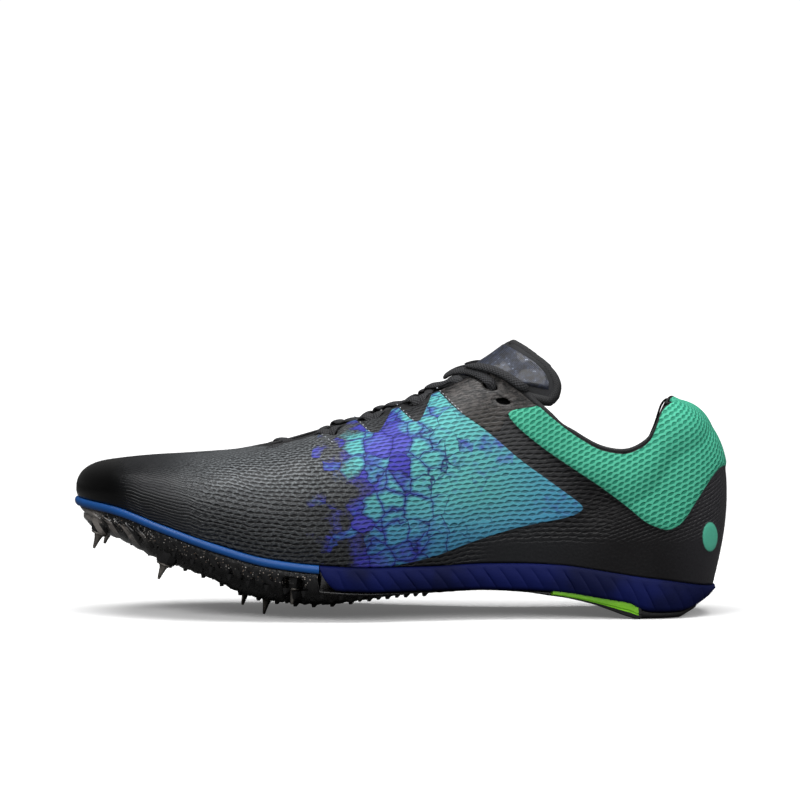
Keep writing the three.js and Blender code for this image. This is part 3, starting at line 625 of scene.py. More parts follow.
def woven_finish(name, base, dark, pitch, row, relief, roughness=0.8, **fixed):
    """Braid or cloth on a piece that carries its own chart in millimetres."""
    f = Finish(name, **fixed)
    a, b, c = f.split(f.attribute("weave", vector=True))[:3]
    cloth = f.weave(a, b, pitch, row)
    fuzz = f.noise(f.join(a, b, c), 1.6, 3)
    tone = f.mix(f.band(cloth, -0.5, 0.6), dark, base)
    return f.done(tone, roughness, f.plus(f.times(cloth, relief), f.times(fuzz, 0.08)))


def plate_finish():
    f = Finish("plate_plastic", Coat_Weight=0.5, Coat_Roughness=0.12)
    place, down = f.place(), f.attribute("down")
    fleck = f.cells(place, 0.95, out="Distance")
    pick = f.split(f.cells(place, 0.95, out="Color"))
    speck = f.times(f.fade(fleck, 0.2, 0.3), f.band(pick[0], 0.5, 0.52))
    speck = f.times(speck, f.fade(down, 3.8, 7.5))
    base = f.mix(f.noise(place, 0.2, 2), "#070708", "#131214")
    base = f.mix(speck, base, f.mix(pick[1], "#7a5f4a", "#d6d3cd"))
    x_mm, _, z_mm = f.split(place)[:3]
    # painted reflection: pale grey on the slanted blade faces at the toe and on a strip just under the
    # rim at the toe tip, standing in for the white floor mirrored in them
    slant = f.math("SINE", f.times(f.math("MULTIPLY_ADD", z_mm, 0.62, x_mm), 2 * math.pi / 6.4))
    blades = f.times(f.band(slant, 0.1, 0.45), f.fade(x_mm, -224, -216))
    blades = f.times(blades, f.band(down, 3.0, 4.0))
    reflection_strip = f.times(f.fade(x_mm, -241, -236), f.fade(down, 5.0, 6.0))
    floor_reflection = f.times(f.math("MAXIMUM", blades, reflection_strip), f.fade(down, 9.5, 11.5))
    base = f.mix(f.times(floor_reflection, 0.85), base, "#8d8782")
    return f.done(base, f.band(f.noise(place, 0.6, 2), 0.3, 0.7, 0.2, 0.4),
                  f.times(f.noise(place, 1.8, 2), 0.05))


def steel_finish():
    f = Finish("spike_steel", Metallic=1.0)
    place = f.place()
    worn = f.noise(place, 0.5, 4)
    return f.done(f.mix(worn, "#6f6963", "#b9b4ad"), f.band(worn, 0.3, 0.7, 0.22, 0.5),
                  f.times(f.noise(place, 3.0, 2), 0.05))


# Mesh helpers
def grid(columns, rows, place):
    """A sheet of columns by rows faces, each corner put where place(u, v) says, in mm."""
    bm = bmesh.new()
    bmesh.ops.create_grid(bm, x_segments=columns, y_segments=rows, size=1)
    for vert in bm.verts:
        i = round((vert.co.x + 1) / 2 * columns)
        j = round((vert.co.y + 1) / 2 * rows)
        vert.co = place(i, j) * MM
    return bm


def weld(bm, distance=1e-6):
    bmesh.ops.remove_doubles(bm, verts=bm.verts, dist=distance)
    bmesh.ops.dissolve_degenerate(bm, edges=bm.edges, dist=distance)


def close_ends(bm):
    bmesh.ops.holes_fill(bm, edges=[e for e in bm.edges if e.is_boundary], sides=0)
    bmesh.ops.recalc_face_normals(bm, faces=bm.faces)


def piece(name, bm, material, node=None, smooth_angle=40):
    """Makes an object of the mesh that rides with the shoe and stands for a CAD node."""
    mesh = bpy.data.meshes.new(name)
    bm.to_mesh(mesh)
    bm.free()
    mesh.shade_smooth()
    mesh.set_sharp_from_angle(angle=math.radians(smooth_angle))
    mesh.materials.append(material)
    made = bpy.data.objects.new(name, mesh)
    bpy.context.scene.collection.objects.link(made)
    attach(made, "root")
    if node:
        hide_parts(*([node] if isinstance(node, str) else node))
    return made


def chart_of(bm, name="weave"):
    return bm.verts.layers.float_vector.new(name)


def tube(points, ups, wide, thick, sides=12, loop=False):
    """A strap or cord of oval section along points, its flat side facing ups."""
    points = points + points[:1] if loop else points
    ups = ups + ups[:1] if loop else ups
    count = len(points) - 1
    lengths = np.cumsum([0] + [(points[i + 1] - points[i]).length for i in range(count)])
    wides = wide if isinstance(wide, list) else [wide] * (count + 1)
    thicks = thick if isinstance(thick, list) else [thick] * (count + 1)
    bm = bmesh.new()
    bmesh.ops.create_grid(bm, x_segments=count, y_segments=sides, size=1)
    layer = chart_of(bm)
    for vert in bm.verts:
        i = round((vert.co.x + 1) / 2 * count)
        j = round((vert.co.y + 1) / 2 * sides)
        before = points[i - 1] if i > 0 else points[count - 1 if loop else 0]
        after = points[i + 1] if i < count else points[1 if loop else count]
        run = (after - before).normalized()
        up = (ups[i] - run * ups[i].dot(run)).normalized()
        angle = 2 * math.pi * j / sides
        end = 0.0 if not loop and i in (0, count) else 1.0
        vert.co = (points[i] + run.cross(up) * math.cos(angle) * wides[i % count] * end
                   + up * math.sin(angle) * thicks[i % count] * end) * MM
        vert[layer] = (lengths[i], angle * wides[i % count], 0)
    weld(bm)
    close_ends(bm)
    return bm


def spline(points, steps):
    """A smooth curve through points, with steps pieces between two of them."""
    result = []
    for i in range(len(points) - 1):
        a, b = points[max(i - 1, 0)], points[i]
        c, d = points[i + 1], points[min(i + 2, len(points) - 1)]
        for k in range(steps):
            t = k / steps
            result.append(0.5 * (2 * b + (c - a) * t + (2 * a - 5 * b + 4 * c - d) * t * t
                                 + (3 * b - a - 3 * c + d) * t ** 3))
    return result + [points[-1]]


# Upper
RIBS = 210          # on each side
LEVELS = 84
MEDIAL_DIP = 4.6    # the collar's far side lies lower, so that its near side hides it
KNIT_WALL = 2.2
SKIN_LIFT = 0.35    # how far each panel stands off the knit
FILM_LIFT = 0.3
COLLAR_LIFT = 0.9
DISC_LIFT = 0.5
HOLE_SINK = 1.2
PAD_LIFT = 1.6      # the padding under the collar's edge
PAD_WIDE = 22


def even_shares(count):
    """Shares of the seam whose plan points on the lateral side lie at even steps."""
    fine = [i / 2000 for i in range(2001)]
    fine = [(1 - math.cos(math.pi * t)) / 2 for t in fine]
    plan = [foot_point(s, -1) for s in fine]
    length = np.cumsum([0] + [(plan[i + 1] - plan[i]).length for i in range(2000)])
    return list(np.interp(np.linspace(0, length[-1], count + 1), length, fine))


def is_open(p):
    """True over the collar line and inside the lacing slot."""
    at = share_at(p.x)
    if COLLAR[0]["at"] < at < COLLAR[-1]["at"]:
        dip = MEDIAL_DIP * smooth(at, 0.70, 0.76) * (1 + smooth(at, 0.86, 0.90)) if p.y > 0 else 0
        dip *= 1 - smooth(at, 0.91, 0.935)
        if p.z > along(COLLAR, "up", at) * HEEL_HEIGHT - dip:
            return True
    front = x_at(THROAT_FRONT)
    radius = THROAT_WIDTH_FRONT / 2
    if p.x < front or p.z < HEEL_HEIGHT * 0.55:
        return False
    off = abs(p.y - ridge_y(at))
    if p.x < front + radius:
        return (front + radius - p.x) ** 2 + off ** 2 < radius ** 2
    run = (p.x - front - radius) / (x_at(THROAT_BACK) - front - radius)
    return run < 1.02 and off < lerp(THROAT_WIDTH_FRONT, THROAT_WIDTH_BACK, run) / 2


def edge_level(point):
    """Where a rib runs into the collar or the throat, 1 where it doesn't."""
    steps = 70
    for i in range(1, steps + 1):
        if is_open(point(i / steps)):
            low, high = (i - 1) / steps, i / steps
            for _ in range(14):
                middle = (low + high) / 2
                low, high = (low, middle) if is_open(point(middle)) else (middle, high)
            return low
    return 1.0


def rib_points(share, side, cut, levels):
    """Points of a rib at even steps along it, and its length in millimetres."""
    point = rib(share, side)
    top = edge_level(point) if cut else 1.0
    trial = [-1 + (top + 1) * (1 - math.cos(math.pi * i / 160)) / 2 for i in range(161)]
    line = [point(level) for level in trial]
    length = np.cumsum([0] + [(line[i + 1] - line[i]).length for i in range(160)])
    wanted = np.interp(np.linspace(0, length[-1], levels + 1), length, trial)
    return [point(level) for level in wanted], length[-1], top < 1


def whole_form():
    """The closed form of the upper, to place other pieces on."""
    shares, levels = even_shares(90), 44
    ribs = [rib_points(s, -1, False, levels)[0] for s in shares]
    ribs += [rib_points(s, 1, False, levels)[0] for s in reversed(shares)]
    bm = grid(len(ribs) - 1, levels, lambda i, j: ribs[i][j])
    weld(bm)
    bmesh.ops.recalc_face_normals(bm, faces=bm.faces)
    tree = BVHTree.FromBMesh(bm)
    bm.free()
    return tree


form = whole_form()
RAY_DEEP = 30       # millimetres under the ridge, where the rays of over start


def over(x, turn, lift=0.0):
    """Point and outward normal on the form at x, turn radians round from straight up."""
    at = share_at(x)
    start = Vector((x, ridge_y(at), along(LAST, "ridge", at) * INSTEP_HEIGHT - RAY_DEEP))
    aim = Vector((0, math.sin(turn), math.cos(turn)))
    hit, normal = form.ray_cast(start * MM, aim)[:2]
    if normal.dot(aim) < 0:
        normal = -normal
    return hit / MM + normal * lift, normal


def shell():
    """The knitted upper with its wall, panels and creases."""
    shares = even_shares(RIBS)
    lines = [(-1, *rib_points(s, -1, True, LEVELS)) for s in shares]
    lines += [(1, *rib_points(s, 1, True, LEVELS)) for s in reversed(shares[:-1])]
    last = len(lines) - 1
    bm = bmesh.new()
    bmesh.ops.create_grid(bm, x_segments=last, y_segments=LEVELS, size=1)
    chart = chart_of(bm, "chart")
    view = chart_of(bm, "seen")
    fields = {name: bm.verts.layers.float.new(name) for name in ("quarter", "film", "green")}
    round_foot = np.cumsum([0] + [(lines[i + 1][1][0] - lines[i][1][0]).length for i in range(last)])
    for vert in bm.verts:
        i = round((vert.co.x + 1) / 2 * last)
        j = round((vert.co.y + 1) / 2 * LEVELS)
        side, points, length, _ = lines[i]
        vert.co = points[j] * MM
        vert[chart] = (round_foot[i], length * j / LEVELS, length * (1 - j / LEVELS))
        vert[view] = (0, 0, side)
    weld(bm)
    bmesh.ops.recalc_face_normals(bm, faces=bm.faces)
    bm.normal_update()
    verts = list(bm.verts)
    points = np.array([v.co for v in verts]) / MM
    places = seen(points)
    masks = {
        "quarter": outline_distance(places, rounded([pixel(r) for r in QUARTER], 1)),
        "film": outline_distance(places, rounded([pixel(r) for r in FILM])),
        "green": outline_distance(places, rounded([pixel(r) for r in GREEN])),
        "disc": ellipse_distance(places, *DISC),
        "hole": np.min([ellipse_distance(places, h["x"], h["y"], h["long"], h["short"],
                                         h["turn"]) for h in HOLES], axis=0),
    }

    def step(name, soft=0.6):
        return np.clip(0.5 - masks[name] / (2 * soft), 0, 1)

    edge = np.array([v[chart].z for v in verts])
    lift = SKIN_LIFT * step("quarter") + FILM_LIFT * step("film") + COLLAR_LIFT * step("green", 1.4)
    lift += DISC_LIFT * step("disc") - HOLE_SINK * step("hole", 0.5)
    padded = np.clip((places[:, 0] - 540) / 60, 0, 1)
    lift += padded * PAD_LIFT * np.sin(np.clip(edge / PAD_WIDE, 0, 1) * np.pi)
    sides = np.array([v[view].z for v in verts])
    for c in CREASES:
        a = np.array(pixel(c))
        b = np.array(pixel({"at": c["to_at"], "up": c["to_up"]}))
        t = np.clip(((places - a) @ (b - a)) / ((b - a) @ (b - a)), 0, 1)
        away = np.linalg.norm(places - a - t[:, None] * (b - a), axis=1) * PIXEL
        fade = np.sin(np.pi * np.clip(t * 0.8 + 0.1, 0, 1))
        off = away / c["wide"]
        trough = np.exp(-off ** 2) - 0.6 * np.exp(-(off - 1.6) ** 2)
        lift += np.where(sides == c["side"], c["deep"] * trough * fade, 0)
    for k, vert in enumerate(verts):
        vert.co += vert.normal * lift[k] * MM
        vert[view] = (places[k][0], places[k][1], sides[k])
        for name, field in fields.items():
            vert[field] = masks[name][k]
    made = piece("upper_shell", bm, upper_finish(), smooth_angle=70,
                 node=["upper", "quarter_skin_lateral", "quarter_skin_medial",
                       "eyestay_film_lateral", "eyestay_film_medial", "collar_panel"])
    made.data.materials.append(plain_finish("lining", "#17181a", "#0e0f11", 0.9, 1.2, 0.25))
    wall = made.modifiers.new("wall", "SOLIDIFY")
    wall.thickness = KNIT_WALL * MM
    wall.offset = -1
    wall.material_offset = 1
    return [line[1][-1] for line in lines if line[3]]


def edge_binding(rim):
    """The thin dark roll that finishes the throat and the collar, all round."""
    for _ in range(5):
        rim = [(rim[i - 1] + rim[i] * 2 + rim[(i + 1) % len(rim)]) / 4 for i in range(len(rim))]
    ups = [form.find_nearest(p * MM)[1] for p in rim]
    sizes, line = [], []
    for p, up in zip(rim, ups):
        at = share_at(p.x)
        band = smooth(at, 0.60, 0.64) * (1 - smooth(at, 0.735, 0.765))
        brow = smooth(at, 0.75, 0.78) * (1 - smooth(at, 0.88, 0.91)) * (p.y < 0)
        sizes.append(0.5 + 0.95 * band + 0.55 * brow)
        line.append(p - up * (0.4 + 0.2 * band) + Vector((0, 0, 0.6)) * brow
                    - Vector((1.2, 0, 0.5)) * smooth(at, 0.912, 0.93))
    piece("edge_roll", tube(line, ups, sizes, sizes, 10, loop=True),
          woven_finish("roll_cloth", "#1a1b1d", "#08080a", 1.0, 0.6, 0.08), None, 60)


def spot(x, y, side):
    """Point and normal on the form under a pixel of the photograph, mirrored on the far side."""
    c, s = math.cos(ELEVATION), math.sin(ELEVATION)
    right, up = (x - IMAGE / 2) * PIXEL, (IMAGE / 2 - y) * PIXEL
    start, aim = eye.copy(), Vector((right, DISTANCE * c + up * s, up * c - DISTANCE * s))
    if side > 0:
        start.y, aim.y = -start.y, -aim.y
    hit, normal = form.ray_cast(start * MM, aim.normalized())[:2]
    if hit is None:
        hit, normal = form.find_nearest((start + aim) * MM)[:2]
    return hit / MM, normal if normal.dot(aim) < 0 else -normal


def stitches():
    """Pale thread along the rear edge of each tooth of the quarter."""
    bm = bmesh.new()
    for side in (-1, 1):
        for row in SEAMS:
            a = np.array(pixel(row)) + (STITCH_OFF, 0)
            b = np.array(pixel({"at": row["to_at"], "up": row["to_up"]})) + (STITCH_OFF, 0)
            count = int(np.linalg.norm(b - a) * PIXEL / STITCH_PITCH)
            for k in range(count):
                t = (k + 0.5) / count
                here, normal = spot(*lerp(a, b, t), side)
                after, _ = spot(*lerp(a, b, t + 0.02), side)
                run = (after - here).normalized()
                frame_of = Matrix((run, normal.cross(run), normal)).transposed().to_4x4()
                made = bmesh.ops.create_icosphere(bm, subdivisions=2, radius=MM)["verts"]
                bmesh.ops.scale(bm, verts=made, vec=(0.62, 0.24, 0.2))
                bmesh.ops.transform(bm, verts=made, matrix=frame_of)
                bmesh.ops.translate(bm, verts=made, vec=(here + normal * 0.45) * MM)
    piece("tooth_stitches", bm, plain_finish("pale_thread", "#b7bcc4", "#8f949c", 0.7, 2.0, 0.1),
          None, 60)


edge_binding(shell())
stitches()


# Sole pieces, lofted along the feather line
def sole_top(share):
    return feather_z(share) - FIT_GAP


def depth(column, share):
    return along(SOLE, column, share) * TOE_SPRING


def mid_bottom(share):
    return sole_top(share) - depth("mid", share)


def plate_line(share):
    """Where the plate's side begins under the rim, and the same level farther back."""
    return sole_top(share) - RIM_THICK - FIT_GAP


def layer(shares, half):
    """Mesh lofted along the length. half(share, side) lists a half section from the top
    edge down: grow out from the feather line, inward to the middle, slide back, z."""
    def place(share, side, row):
        at = clamp(share + row.get("slide", 0) / SEAM_LENGTH, 0, 1)
        plan = foot_point(at, side, row.get("grow", 0))
        plan.y = lerp(plan.y, ridge_y(at), row.get("inward", 0))
        return Vector((plan.x, plan.y, row["z"](share_at(plan.x))))

    rings = []
    for share in shares:
        ring = [place(share, -1, row) for row in half(share, -1)]
        ring += [place(share, 1, row) for row in reversed(half(share, 1))]
        rings.append(ring + ring[:1])
    bm = grid(len(rings) - 1, len(rings[0]) - 1, lambda i, j: rings[i][j])
    weld(bm)
    close_ends(bm)
    return bm


def shares_between(start, end, count, ends=False):
    """Shares from start to end, closer together at the toe or heel where ends is set."""
    if not ends:
        return [lerp(start, end, i / count) for i in range(count + 1)]
    whole = even_shares(count)
    return [start] + [s for s in whole if start + 0.002 < s < end - 0.002] + [end]


def rim_half(share, side):
    rows = [{"grow": -2.0, "z": sole_top}]
    for t in np.linspace(0, 1, 9):
        rows.append({"grow": RIM_FLARE * (0.35 + 0.65 * math.sin(math.pi * t) ** 0.6),
                     "z": lambda at, t=t: sole_top(at) - RIM_THICK * t})
    return rows + [{"grow": -2.0, "z": lambda at: sole_top(at) - RIM_THICK}]


piece("rim_band", layer(shares_between(0, RIM_END, 260, True), rim_half),
      plain_finish("rim_foam", "#08509a", "#074585", 0.45, 1.4, 0.06), "forefoot_rim", 50)


def teeth(share, pitch, lean, t, sharp):
    """A slanted ridge's height from 0 to 1 at t down the side."""
    phase = (share * SEAM_LENGTH - lean * t) / pitch
    return abs(math.sin(math.pi * phase)) ** sharp


POCKET = 8.5        # depth of the hollow round the outermost spike


def plate_half(share, side):
    behind = share > RIM_END
    blades = smooth(share, 0.015, 0.035) * (1 - smooth(share, 0.115, 0.135))
    ribs = smooth(share, 0.13, 0.16) * (1 - smooth(share, 0.345, 0.38))
    pocket = smooth(share, 0.326, 0.333) * (1 - smooth(share, 0.353, 0.360)) * POCKET * (side < 0)
    rows = []
    for i in range(13):
        t = i / 12
        inset = 1.2 + 2.4 * t ** 3 - 0.5 * math.sin(math.pi * t)
        inset += blades * 2.6 * smooth(t, 0.12, 0.3) * (1 - teeth(share, 5.4, 6.0, t, 0.5))
        inset += ribs * 1.5 * smooth(t, 0.25, 0.5) * (1 - teeth(share, 4.6, 4.0, t, 0.7))
        inset += 0.35 * math.sin(share * 700) * t * (1 - blades) + pocket * smooth(t, 0.3, 0.45)

        def z(at, t=t):
            top = mid_bottom(at) - FIT_GAP if behind else plate_line(at)
            return lerp(top, plate_line(at) - depth("edge", at), t)
        rows.append({"grow": -inset, "z": z})
    for i in range(1, 9):
        t = i / 8
        ridge = 0.55 * teeth(share, 5.2, side * 6.0, t, 0.8) * math.sin(math.pi * t)

        def keel(at, t=t, ridge=ridge):
            swell = math.sin(math.pi * min(t, 0.6) / 1.2)
            return plate_line(at) - lerp(depth("edge", at), depth("keel", at), swell) - ridge
        rows.append({"grow": -2.4 - pocket * (1 - t), "inward": 0.9 * t, "z": keel})
    return rows


def on_pin(bm, pin, verts):
    """Turns and moves vertices from a spike's own axis to its place."""
    lean = math.radians(pin["tilt"])
    bmesh.ops.rotate(bm, verts=verts, cent=(0, 0, 0), matrix=Matrix.Rotation(lean, 3, "Y"))
    bmesh.ops.translate(bm, verts=verts, vec=Vector((
        x_at(pin["at"]) - PIN_LENGTH * math.sin(lean), pin["across"] * BALL_WIDTH,
        pin["tip"] * TOE_SPRING + PIN_TIP * math.sin(lean))) * MM)


def turned(bm, profile, steps=24):
    """Adds a turned shape from (radius, height) points in millimetres; returns its corners."""
    before = set(bm.verts)
    verts = [bm.verts.new(Vector((r, 0, z)) * MM) for r, z in profile]
    edges = [bm.edges.new(pair) for pair in zip(verts, verts[1:])]
    bmesh.ops.spin(bm, geom=verts + edges, cent=(0, 0, 0), axis=(0, 0, 1),
                   angle=2 * math.pi, steps=steps, use_merge=True)
    added = [v for v in bm.verts if v not in before]
    bmesh.ops.remove_doubles(bm, verts=added, dist=1e-5)
    return [v for v in bm.verts if v not in before]


def add_lug(bm, at, side, inward, size):
    """A pointed tread lug that leans back, five flats round."""
    plan = foot_point(at, side, -2.6)
    y = lerp(plan.y, ridge_y(at), inward)
    z = plate_line(at) - lerp(depth("edge", at), depth("keel", at), clamp(inward * 2))
    made = bmesh.ops.create_cone(bm, cap_ends=True, segments=5, radius1=2.6 * size * MM,
                                 radius2=0.7 * size * MM, depth=3.4 * size * MM,
                                 matrix=Matrix.Rotation(math.pi, 4, "X"))["verts"]
    for vert in made:
        vert.co.x += 0.35 * vert.co.z
    bmesh.ops.translate(bm, verts=made, vec=Vector((plan.x, y, z)) * MM)


# Turned shapes, as radius and height: a spike's seat in the plate, and the spike, a
# drawn-in point on a round flange
BOSS = [(5.2, 13), (4.9, 10), (4.4, 8.6), (4.1, 7.6), (3.9, 7.4), (3.8, 8.2), (0, 8.2)]
SPIKE = [(0, 0), (0.45, 0.05), (0.62, 0.5), (0.95, 2.4), (1.4, 4.6), (1.95, 6.1), (2.4, 6.4),
         (3.3, 6.5), (3.55, 6.8), (3.55, 7.4), (3.2, 7.6), (0, 7.6)]
LUGS_FROM = 0.07
LUGS = table(
    "inward shift size",
    (0.03, 0.0, 0.8), (0.14, 0.5, 1.0), (0.30, 0.0, 0.9), (0.48, 0.5, 1.0), (0.70, 0.0, 0.9),
    (0.92, 0.5, 1.0))


def plate():
    front = shares_between(0, RIM_END, 420, True)[:-1]
    bm = layer(front + shares_between(RIM_END + 0.001, PLATE_END, 130), plate_half)
    step = LUG_PITCH / SEAM_LENGTH
    for k in range(int((LUGS_TO - LUGS_FROM) / step)):
        at = LUGS_FROM + k * step
        for side in (-1, 1):
            for row in LUGS:
                fore = smooth(at, 0.05, 0.2)
                add_lug(bm, at + row["shift"] * step, side, row["inward"],
                        row["size"] * lerp(0.62, 1.0, fore))
    for pin in PINS:
        on_pin(bm, pin, turned(bm, BOSS, 9))
    bmesh.ops.recalc_face_normals(bm, faces=bm.faces)
    down = bm.verts.layers.float.new("down")
    for vert in bm.verts:
        vert[down] = plate_line(share_at(vert.co.x / MM)) - vert.co.z / MM
    piece("plate_shell", bm, plate_finish(), "spike_plate", 35)


plate()


def mid_half(share, side):
    start = RIM_END + FIT_GAP / SEAM_LENGTH
    ribs = math.floor((1 - start) * SEAM_LENGTH / RIB_PITCH)
    phase = (share - start) / (1 - start) * ribs
    hollow = 1.0 * (1 - abs(math.sin(math.pi * phase)) ** 0.22)
    ends = smooth(share, start, start + 0.05) * (1 - smooth(share, 0.9, 1))
    front = 1 - smooth(share, start, start + 0.03)
    rows = [{"grow": 0.0, "z": sole_top}]
    for i in range(1, 12):
        t = i / 12
        bulge = math.sin(math.pi * clamp(t * 0.9 + 0.05)) ** 0.7
        cut = hollow * smooth(t, 0.08, 0.3)
        rows.append({"grow": MIDSOLE_FLARE * bulge - cut,
                     "slide": RIB_SLANT * t * ends + 7 * t * t * front,
                     "z": lambda at, t=t: sole_top(at) - depth("mid", at) * t})
    return rows + [{"grow": -MIDSOLE_FLARE, "slide": RIB_SLANT * ends + 7 * front, "z": mid_bottom}]


piece("midsole_foam_body", layer(shares_between(RIM_END + 0.001, 1, 480), mid_half),
      plain_finish("midsole_foam", "#0a144c", "#070e36", 0.62, 1.2, 0.07, Specular_IOR_Level=0.12),
      "midsole", 80)


def ground(at):
    return (mid_bottom(at) - FIT_GAP) * along(TREAD, "low", at)


def arch_half(share, side):
    scallop = 1.3 * abs(math.sin(math.pi * share * SEAM_LENGTH / 3.6))
    rows = [{"grow": -3.0, "z": lambda at: mid_bottom(at) - FIT_GAP},
            {"grow": -0.8, "z": lambda at: mid_bottom(at) + scallop}]
    for t, grow in ((0.15, -0.5), (0.40, -0.5), (0.46, -1.0), (0.54, -1.0), (0.60, -0.6), (0.9, -0.9)):
        rows.append({"grow": grow, "z": lambda at, t=t: lerp(mid_bottom(at) - FIT_GAP, ground(at), t)})
    return rows + [{"grow": -1.7, "z": ground}, {"grow": -6.0, "z": ground}]


tread_black = plain_finish("tread_rubber", "#141416", "#0c0c0e", 0.6, 1.0, 0.15)
arch_start = PLATE_END + 3 * FIT_GAP / SEAM_LENGTH
arch = piece("arch_insert", layer(shares_between(arch_start, ARCH_END, 200), arch_half),
             plain_finish("arch_rubber", "#7cc51d", "#68ad14", 0.5, 1.0, 0.1), "arch_piece",
             40)
arch.data.materials.append(tread_black)
for face in arch.data.polygons:
    at = share_at(face.center.x / MM)
    top = mid_bottom(at) - FIT_GAP
    low = top - face.center.z / MM > 0.62 * (top - ground(at))
    face.material_index = 1 if low or at > ARCH_END - 0.006 else 0


def heel_half(share, side):
    tail = 3.5 * smooth(share, 0.94, HEEL_TREAD_END)
    rows = [{"grow": -3.0 - tail, "z": lambda at: mid_bottom(at) - FIT_GAP}]
    for t, grow in ((0.0, -1.0), (0.3, -0.9), (0.55, -1.2), (0.78, -2.0), (0.92, -3.2), (1.0, -4.8)):
        rows.append({"grow": grow - tail,
                     "z": lambda at, t=t: lerp(mid_bottom(at) - FIT_GAP, ground(at), t)})
    groove = 0.5 * (1 - teeth(share, 5.0, 0, 0, 0.5))
    for t in (0.2, 0.4, 0.6, 0.8):
        rows.append({"grow": -4.8 - tail, "inward": t,
                     "z": lambda at: ground(at) + groove * smooth(at, 0.89, 0.9)})
    return rows


piece("heel_tread_rubber", layer(shares_between(ARCH_END + 0.001, HEEL_TREAD_END, 120), heel_half),
      tread_black, "heel_tread", 40)


def liner_half(share, side):
    grow = -(lerp(WALL_FRONT, WALL_HEEL, smooth(share, 0.62, 0.8)) + 2 * FIT_GAP)
    return [{"grow": grow, "inward": inward, "z": lambda at, high=high: feather_z(at) + high}
            for inward, high in ((0.75, 2.0), (0.4, 2.1), (0.1, 2.8), (0, 3.4), (0, 0))]


piece("sock_liner", layer(shares_between(0, 1, 160, True), liner_half),
      plain_finish("sock_cloth", "#1c1d20", "#131416", 0.9, 1.1, 0.2), "insole", 60)


# Steel spikes
steel = steel_finish()
for pin in PINS:
    bm = bmesh.new()
    on_pin(bm, pin, turned(bm, SPIKE))
    bmesh.ops.recalc_face_normals(bm, faces=bm.faces)
    piece("pin_" + pin["name"], bm, steel, "spike_" + pin["name"], 35)


# Tongue: a padded tongue that lies under the throat and stands up behind the collar's front
TONGUE_END = table(
    "at across z",
    (0.00, 0.684, 119.0), (0.30, 0.712, 111.8), (0.60, 0.742, 105.3), (0.75, 0.753, 101.6),
    (0.86, 0.757, 98.0), (0.94, 0.753, 94.5), (1.00, 0.742, 92.0))
TONGUE_FRONT = 0.305
TONGUE_DROP = 2.3       # its top face to the upper's outside
TONGUE_THIN = 2.6
TONGUE_PAD = 5.0
TRIM_AT = 0.985         # where the binding runs, as a share of the tongue's length and half width
HALF_HEIGHT = 55


def turn_for(x, z):
    """How far round from straight up the form's side is at height z."""
    low, high = 0.0, 1.9
    for _ in range(16):
        middle = (low + high) / 2
        low, high = (middle, high) if over(x, middle)[0].z > z else (low, middle)
    return low


def tongue_place(t, w, drop):
    """Point of the tongue: t from front to end, w from -1 to 1 across, drop into it."""
    far = x_at(along(TONGUE_END, "across", abs(w)))
    x = lerp(x_at(TONGUE_FRONT), far, t)
    last = math.copysign(turn_for(far, along(TONGUE_END, "z", abs(w)) + 0.6), w)
    turn = lerp(w * 0.62, last, smooth(t, 0.45, 1.0))
    return over(x, turn, -TONGUE_DROP - drop)[0]


def tongue_thick(t, w):
    """Thickness of the padded tongue, rounded at its edges and its end."""
    thick = lerp(TONGUE_THIN, TONGUE_PAD, smooth(t, 0.7, 0.95)) * math.sqrt(max(0, 1 - abs(w) ** 5))
    return thick * math.sqrt(max(0, 1 - ((t - 0.97) / 0.03) ** 2)) if t > 0.97 else thick


def tongue():
    columns, half = 100, 36
    ends = {}

    def place(i, j):
        t = i / columns
        w = 1 - abs(j / half - 1) * 2
        w = math.sin(w * math.pi / 2)
        thick = tongue_thick(t, w)
        key = (i, round(w, 4))
        if key not in ends:
            ends[key] = tongue_place(t, w, 0), outward(tongue_place(t, w, 0))
        p, normal = ends[key]
        return p - normal * (thick if j > half else 0) + normal * (0.5 * (thick - TONGUE_THIN))

    bm = grid(columns, 2 * half, place)
    weld(bm)
    close_ends(bm)
    piece("tongue_pad", bm, plain_finish("tongue_fabric", "#1d1e21", "#101113", 0.85, 1.3, 0.25),
          "tongue", 60)


def outward(p):
    """Normal of the upper's form nearest to a point, turned away from the foot."""
    hit, normal = form.find_nearest(p * MM)[:2]
    aim = p * MM - hit
    if aim.length > 1e-6 and abs(aim.dot(normal)) > 1e-6:
        foot = Vector((p.x, ridge_y(share_at(p.x)), HALF_HEIGHT))
        return normal if (hit / MM - foot).dot(normal) > 0 else -normal
    return normal


def tongue_trim():
    """The rolled binding round the tongue's end and the bare woven patch on it."""
    edge = [tongue_place(t, -TRIM_AT, 1.2) for t in np.linspace(0.62, TRIM_AT, 26)]
    edge += [tongue_place(TRIM_AT, w, 1.2) for w in np.linspace(-0.97, 0.97, 60)]
    edge += [tongue_place(t, TRIM_AT, 1.2) for t in np.linspace(TRIM_AT, 0.62, 26)]
    piece("tongue_binding", tube(edge, [outward(p) for p in edge], 2.2, 2.4),
          woven_finish("binding_cloth", "#1b1c1f", "#0a0a0b", 1.1, 0.7, 0.1), None, 60)

    def on_tongue(i, j):
        t, w = lerp(0.77, 0.958, i / 30), lerp(-0.90, 0.90, j / 48)
        return tongue_place(t, w, -0.25 - 0.5 * (tongue_thick(t, w) - TONGUE_THIN))

    bm = grid(30, 48, on_tongue)
    bmesh.ops.recalc_face_normals(bm, faces=bm.faces)
    f = Finish("patch_weave", Coat_Weight=0.25)
    place = f.place()
    thread = f.weave(f.split(place)[0], f.split(place)[2], 0.9, 0.45)
    marble = f.noise(place, 0.42, 5, 0.72)
    tone = f.mix(f.band(marble, 0.40, 0.56), "#0c0e15", "#232a3c")
    tone = f.mix(f.band(marble, 0.60, 0.68), tone, "#7f899c")
    f.done(tone, 0.5, f.math("MULTIPLY", thread, 0.06))
    patch = piece("tongue_patch", bm, f.material, None, 60)
    rim = patch.modifiers.new("thick", "SOLIDIFY")
    rim.thickness = 0.5 * MM


tongue()
tongue_trim()

